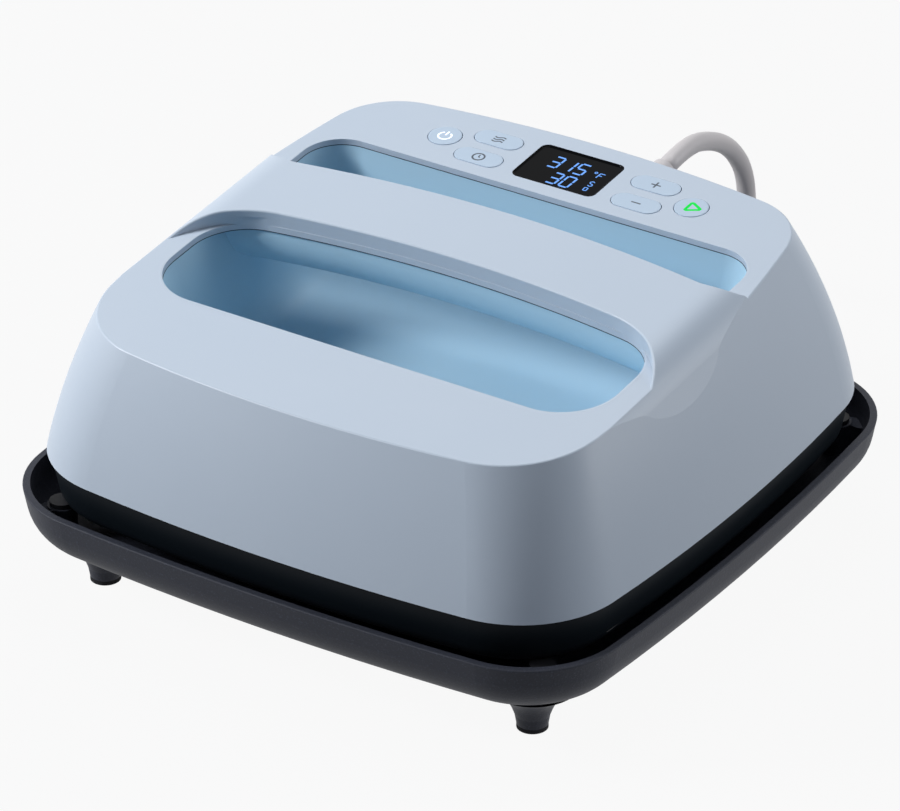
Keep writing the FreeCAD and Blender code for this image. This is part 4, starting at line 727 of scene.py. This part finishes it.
finishes = {
    # ABS moulded in a finely etched tool: satin, even, with a soft wide highlight
    "satinShellAbs": {"colour": "#B9C5D3", "shade": "#B5C2D1", "roughness": (0.36, 0.44),
                      "grainSize": 0.9 * mm, "depth": 0.02 * mm, "bump": 0.12},
    # key caps of the same resin from a smoother tool, a little bluer under the finger
    "smoothKeyAbs": {"colour": "#B4C6D8", "shade": "#B1C3D6", "roughness": (0.3, 0.38),
                     "grainSize": 0.9 * mm, "depth": 0.01 * mm},
    # liner resin in the deeper blue, dead matt so that the well looks soft
    "mattLinerAbs": {"colour": "#AECFE2", "shade": "#AACCE0", "roughness": (0.46, 0.56),
                     "grainSize": 1.0 * mm, "depth": 0.03 * mm, "bump": 0.15},
    # heat proof PBT of the lower housing: near black with a cool sheen
    "blackHousingPbt": {"colour": "#0B1015", "shade": "#0E141A", "roughness": (0.4, 0.5), "ior": 1.22,
                        "grainSize": 0.8 * mm, "depth": 0.03 * mm, "bump": 0.2},
    # spark eroded grain of the tray, drawn at 0.9 mm so that it shows; painted highlight as lighter flecks
    # where its peaks catch light
    "grainedTrayPp": {"colour": "#2B2E38", "shade": "#262932", "fleck": "#484C5A", "fleckShare": 0.45,
                      "roughness": (0.46, 0.62), "ior": 1.3, "grainSize": 0.9 * mm, "depth": 0.16 * mm,
                      "bump": 0.55},
    # moulded rubber tips: dull and slightly dusty
    "mouldedFootRubber": {"colour": "#131418", "shade": "#18191D", "roughness": (0.7, 0.85), "ior": 1.25,
                          "grainSize": 0.6 * mm, "depth": 0.04 * mm, "bump": 0.3, "sheen": 0.05},
    # heat proof silicone pads: charcoal with a waxy gloss
    "siliconePad": {"colour": "#1E1F23", "shade": "#1B1C20", "roughness": (0.5, 0.6), "ior": 1.35,
                    "grainSize": 0.5 * mm, "depth": 0.02 * mm},
    # extruded PVC sheath: faint drawing lines and a low gloss
    "extrudedCordPvc": {"colour": "#C6C2C3", "shade": "#C1BDBE", "roughness": (0.42, 0.52),
                        "grainSize": 1.2 * mm, "depth": 0.03 * mm, "bump": 0.15},
    # woven nylon of the tie: short fibres and a soft edge glow
    "wovenTieNylon": {"colour": "#2A2C31", "shade": "#1F2125", "roughness": (0.75, 0.9), "sheen": 0.5,
                      "grainSize": 0.5 * mm, "depth": 0.12 * mm, "bump": 0.7},
    # nickel plated brass pins, bright with fine drawing marks
    "platedPinBrass": {"colour": "#CFC6AE", "shade": "#C8BEA3", "roughness": (0.2, 0.32), "metallic": 1.0,
                       "grainSize": 0.4 * mm, "depth": 0.01 * mm, "stretch": (1, 1, 6)},
    # smoked acrylic window and bezel: deep black, polished
    "smokedAcrylic": {"colour": "#020305", "shade": "#030407", "roughness": (0.06, 0.12), "ior": 1.12,
                      "grainSize": 3 * mm, "depth": 0.002 * mm},
    # light guide signs of the display behind the acrylic, lit blue
    "litBlueSigns": {"colour": "#2A4A78", "shade": "#2A4A78", "lit": "#5E9CEE", "glow": 1.0,
                     "roughness": (0.4, 0.5), "grainSize": 1 * mm, "depth": 0.002 * mm},
    # light guide of the power key, lit white
    "litWhiteSign": {"colour": "#E8EEF6", "shade": "#E2E9F2", "lit": "#F4F8FF", "glow": 0.55,
                     "roughness": (0.3, 0.4), "grainSize": 1 * mm, "depth": 0.002 * mm},
    # light guide of the start key, lit green
    "litGreenSign": {"colour": "#06401A", "shade": "#06401A", "lit": "#00F050", "glow": 0.85,
                     "roughness": (0.6, 0.7), "ior": 1.2, "grainSize": 1 * mm, "depth": 0.002 * mm},
    # pad printed ink on the keys: dark slate, faintly uneven
    "printedKeyInk": {"colour": "#434C58", "shade": "#4A535F", "roughness": (0.5, 0.65),
                      "grainSize": 0.3 * mm, "depth": 0.004 * mm},
    # cast plate with a baked non stick face: warm dark grey metal with soft mottling
    "coatedCastAluminium": {"colour": "#8D8B88", "shade": "#7E7C7A", "roughness": (0.36, 0.5),
                            "metallic": 1.0, "driftSize": 0.03, "grainSize": 1.2 * mm,
                            "depth": 0.05 * mm, "bump": 0.25},
    # anodised extrusion of the heat sink: satin with drawing lines along its fins
    "anodisedSinkAluminium": {"colour": "#9FA3A8", "shade": "#94989D", "roughness": (0.3, 0.45),
                              "metallic": 1.0, "grainSize": 0.8 * mm, "depth": 0.02 * mm,
                              "stretch": (1, 8, 1)},
    # drawn steel sheath of the element, browned by heat in patches
    "heatedSheathSteel": {"colour": "#8A8580", "shade": "#6B5F52", "roughness": (0.3, 0.45), "metallic": 1.0,
                          "driftSize": 0.02, "grainSize": 0.6 * mm, "depth": 0.01 * mm},
    # zinc plated sheet and screws: bright grey with the spangle of the plating, drawn at 4 mm
    "zincPlatedSteel": {"colour": "#B4B6B9", "shade": "#9EA1A6", "fleck": "#C9CBCE", "driftSize": 0.004,
                        "roughness": (0.28, 0.42), "metallic": 1.0, "grainSize": 4 * mm, "depth": 0.01 * mm},
    # glazed steatite spacers: cream white with a glassy skin
    "glazedSteatite": {"colour": "#EDE9DF", "shade": "#E6E1D5", "roughness": (0.12, 0.22), "coat": 0.4,
                       "grainSize": 0.8 * mm, "depth": 0.01 * mm},
    # needled glass wool: matted fibres, drawn at 1.5 mm, with a fuzzy edge
    "needledGlassWool": {"colour": "#DED8C6", "shade": "#CFC8B2", "fleck": "#F0ECDF",
                         "roughness": (0.85, 0.95), "sheen": 0.4, "grainSize": 1.5 * mm, "depth": 0.8 * mm,
                         "bump": 0.8, "detail": 6.0, "stretch": (1, 3, 1)},
    # glass fibre laminate under green solder mask, tracks 5 mm apart showing through
    "maskedBoardLaminate": {"colour": "#1E5A34", "shade": "#1A5230", "tracks": "#3C7F50",
                            "trackPitch": 20 * mm, "roughness": (0.25, 0.35), "grainSize": 0.5 * mm,
                            "depth": 0.03 * mm, "bump": 0.3},
    # natural nylon pillars: milky and slightly waxy
    "naturalNylon": {"colour": "#E6E4DA", "shade": "#DEDBCF", "roughness": (0.4, 0.5),
                     "grainSize": 0.6 * mm, "depth": 0.01 * mm},
    # blue relay cover: glossy moulded polyester
    "relayCoverPbt": {"colour": "#2B4C8C", "shade": "#274683", "roughness": (0.22, 0.3),
                      "grainSize": 0.7 * mm, "depth": 0.01 * mm},
    # polyester tape round the transformer: yellow, its wraps drawn 3 mm apart
    "tapedWinding": {"colour": "#C9A43A", "shade": "#B9942F", "tracks": "#A8842A", "trackPitch": 12 * mm,
                     "roughness": (0.25, 0.4), "grainSize": 0.6 * mm, "depth": 0.05 * mm},
    # shrunk sleeve of the capacitor: dark, glossy, with soft wrinkles
    "shrunkSleevePvc": {"colour": "#1B2233", "shade": "#202941", "roughness": (0.2, 0.3),
                        "grainSize": 1.5 * mm, "depth": 0.03 * mm},
    # terminal block: green polyamide, dull where the grain is
    "terminalPolyamide": {"colour": "#2F7D4B", "shade": "#2A7244", "roughness": (0.4, 0.55),
                          "grainSize": 0.6 * mm, "depth": 0.02 * mm},
    # black moulded parts of the electronics: fine matt tooling
    "mattComponentPa": {"colour": "#1C1D20", "shade": "#222327", "roughness": (0.5, 0.65),
                        "grainSize": 0.4 * mm, "depth": 0.02 * mm},
    # painted shadow of the well seam's gap: a dark strip set in the gap, coloured as its shade
    "paintedSeamShadow": {"colour": "#1E3347", "shade": "#1A2D40", "roughness": (0.7, 0.8),
                    "grainSize": 0.5 * mm, "depth": 0.01 * mm},
}
made = {name: makeFinish(name, look) for name, look in finishes.items()}
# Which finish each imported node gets, then each piece made above
dressing = {
    "satinShellAbs": ["top_shell"],
    "smoothKeyAbs": [f"{name}_button" for name in keyNames],
    "mattLinerAbs": ["hand_well_liner", "handle_underside"],
    "blackHousingPbt": ["lower_housing"],
    "mattComponentPa": ["key_carrier", "display_module", "beeper", "tact_switches"],
    "grainedTrayPp": ["base_tray"],
    "mouldedFootRubber": ["foot_pads"],
    "siliconePad": ["rest_pads"],
    "extrudedCordPvc": ["strain_relief", "power_plug"],
    "platedPinBrass": ["plug_pins"],
    "smokedAcrylic": ["display_window"],
    "coatedCastAluminium": ["heat_plate"],
    "anodisedSinkAluminium": ["triac_heat_sink"],
    "heatedSheathSteel": ["heating_element", "thermal_cutout"],
    "zincPlatedSteel": ["plate_screws", "housing_screws", "heat_shield", "board_screws"],
    "glazedSteatite": ["plate_spacers", "temperature_sensor"],
    "needledGlassWool": ["insulation_blanket"],
    "maskedBoardLaminate": ["control_board", "power_board"],
    "naturalNylon": ["board_pillars"],
    "relayCoverPbt": ["power_relay"],
    "tapedWinding": ["supply_transformer"],
    "shrunkSleevePvc": ["smoothing_capacitor"],
    "terminalPolyamide": ["terminal_block"],
}
covering = {
    "extrudedCordPvc": [sheath],
    "wovenTieNylon": [cordTie],
    "smoothKeyAbs": capPieces,
    "satinShellAbs": [keyholeLips, openingLips],
    "grainedTrayPp": [feetCollars],
    "smokedAcrylic": [bezel],
    "litBlueSigns": [displaySigns],
    "litWhiteSign": [iconPieces["power"]],
    "litGreenSign": [iconPieces["start"]],
    "printedKeyInk": [iconPieces[name] for name in ("heat", "timer", "plus", "minus")],
    "paintedSeamShadow": [wellSeamShadow],
}
for finish, names in dressing.items():
    covering.setdefault(finish, []).extend(nodes[name] for name in names)
for finish, pieces in covering.items():
    for piece in pieces:
        piece.data.materials.clear()
        piece.data.materials.append(made[finish])

print("studio")


# Marks the rays that show the background: those of the camera, of reflections and of what shines through
def seenRays(tree):
    rays = addNode(tree, "ShaderNodeLightPath")
    seen = addNode(tree, "ShaderNodeMath", {"operation": "MAXIMUM"}, None,
                   {0: rays.outputs["Is Camera Ray"], 1: rays.outputs["Is Glossy Ray"]})
    return addNode(tree, "ShaderNodeMath", {"operation": "MAXIMUM"}, None,
                   {0: seen.outputs["Value"], 1: rays.outputs["Is Transmission Ray"]}).outputs["Value"]


floorMake = {"half": 4, "paper": "#86878B", "white": 0.93}


# The paper floor keeps the object's shadow, thinned to the camera as a bright studio sweep shows it
def makeFloor(make):
    mesh = bpy.data.meshes.new("studioFloor")
    corners = [(across * make["half"], ahead * make["half"], 0)
               for across, ahead in ((-1, -1), (1, -1), (1, 1), (-1, 1))]
    mesh.from_pydata(corners, [], [(0, 1, 2, 3)])
    floor = bpy.data.objects.new("studioFloor", mesh)
    bpy.context.scene.collection.objects.link(floor)
    material = bpy.data.materials.new("paperSweep")
    material.use_nodes = True
    tree = material.node_tree
    tree.nodes.clear()
    paper = addNode(tree, "ShaderNodeBsdfDiffuse", None, {"Color": linearColour(make["paper"])})
    white = addNode(tree, "ShaderNodeEmission", None, {"Color": (1, 1, 1, 1), "Strength": 1.0})
    share = addNode(tree, "ShaderNodeMath", {"operation": "MULTIPLY"}, {1: make["white"]},
                    {0: seenRays(tree)})
    mixed = addNode(tree, "ShaderNodeMixShader", None, None,
                    {0: share.outputs["Value"], 1: paper.outputs["BSDF"], 2: white.outputs["Emission"]})
    addNode(tree, "ShaderNodeOutputMaterial", None, None, {"Surface": mixed.outputs["Shader"]})
    mesh.materials.append(material)


makeFloor(floorMake)


# White to the camera and in reflections, a plain cool grey for the light it gives
def makeWorld(colour, strength):
    world = bpy.data.worlds.new("studioWorld")
    world.use_nodes = True
    tree = world.node_tree
    tree.nodes.clear()
    fill = addNode(tree, "ShaderNodeBackground", None, {"Color": linearColour(colour), "Strength": strength})
    white = addNode(tree, "ShaderNodeBackground", None, {"Color": (1, 1, 1, 1), "Strength": 1.0})
    mixed = addNode(tree, "ShaderNodeMixShader", None, None,
                    {0: seenRays(tree), 1: fill.outputs["Background"], 2: white.outputs["Background"]})
    addNode(tree, "ShaderNodeOutputWorld", None, None, {"Surface": mixed.outputs["Shader"]})
    bpy.context.scene.world = world


makeWorld("#CFDDF3", 0.14)
bpy.context.scene.view_settings.view_transform = "Standard"

lamps = {
    "keySoftbox": {"place": (-1.55, -1.0, 1.2), "size": 0.6, "power": 43, "colour": "#FFFFFF"},
    "rightSoftbox": {"place": (1.5, 0.9, 0.55), "size": 0.9, "power": 11, "colour": "#FFFFFF"},
    "topPanel": {"place": (-0.2, 0.5, 1.6), "size": 0.9, "power": 11, "colour": "#FFFFFF"},
}
for name, lamp in lamps.items():
    data = bpy.data.lights.new(name, "AREA")
    data.size = lamp["size"]
    data.energy = lamp["power"]
    data.color = linearColour(lamp["colour"])[:3]
    light = bpy.data.objects.new(name, data)
    light.location = lamp["place"]
    light.rotation_mode = "QUATERNION"
    light.rotation_quaternion = (-Vector(lamp["place"])).to_track_quat("-Z", "Y")
    bpy.context.scene.collection.objects.link(light)
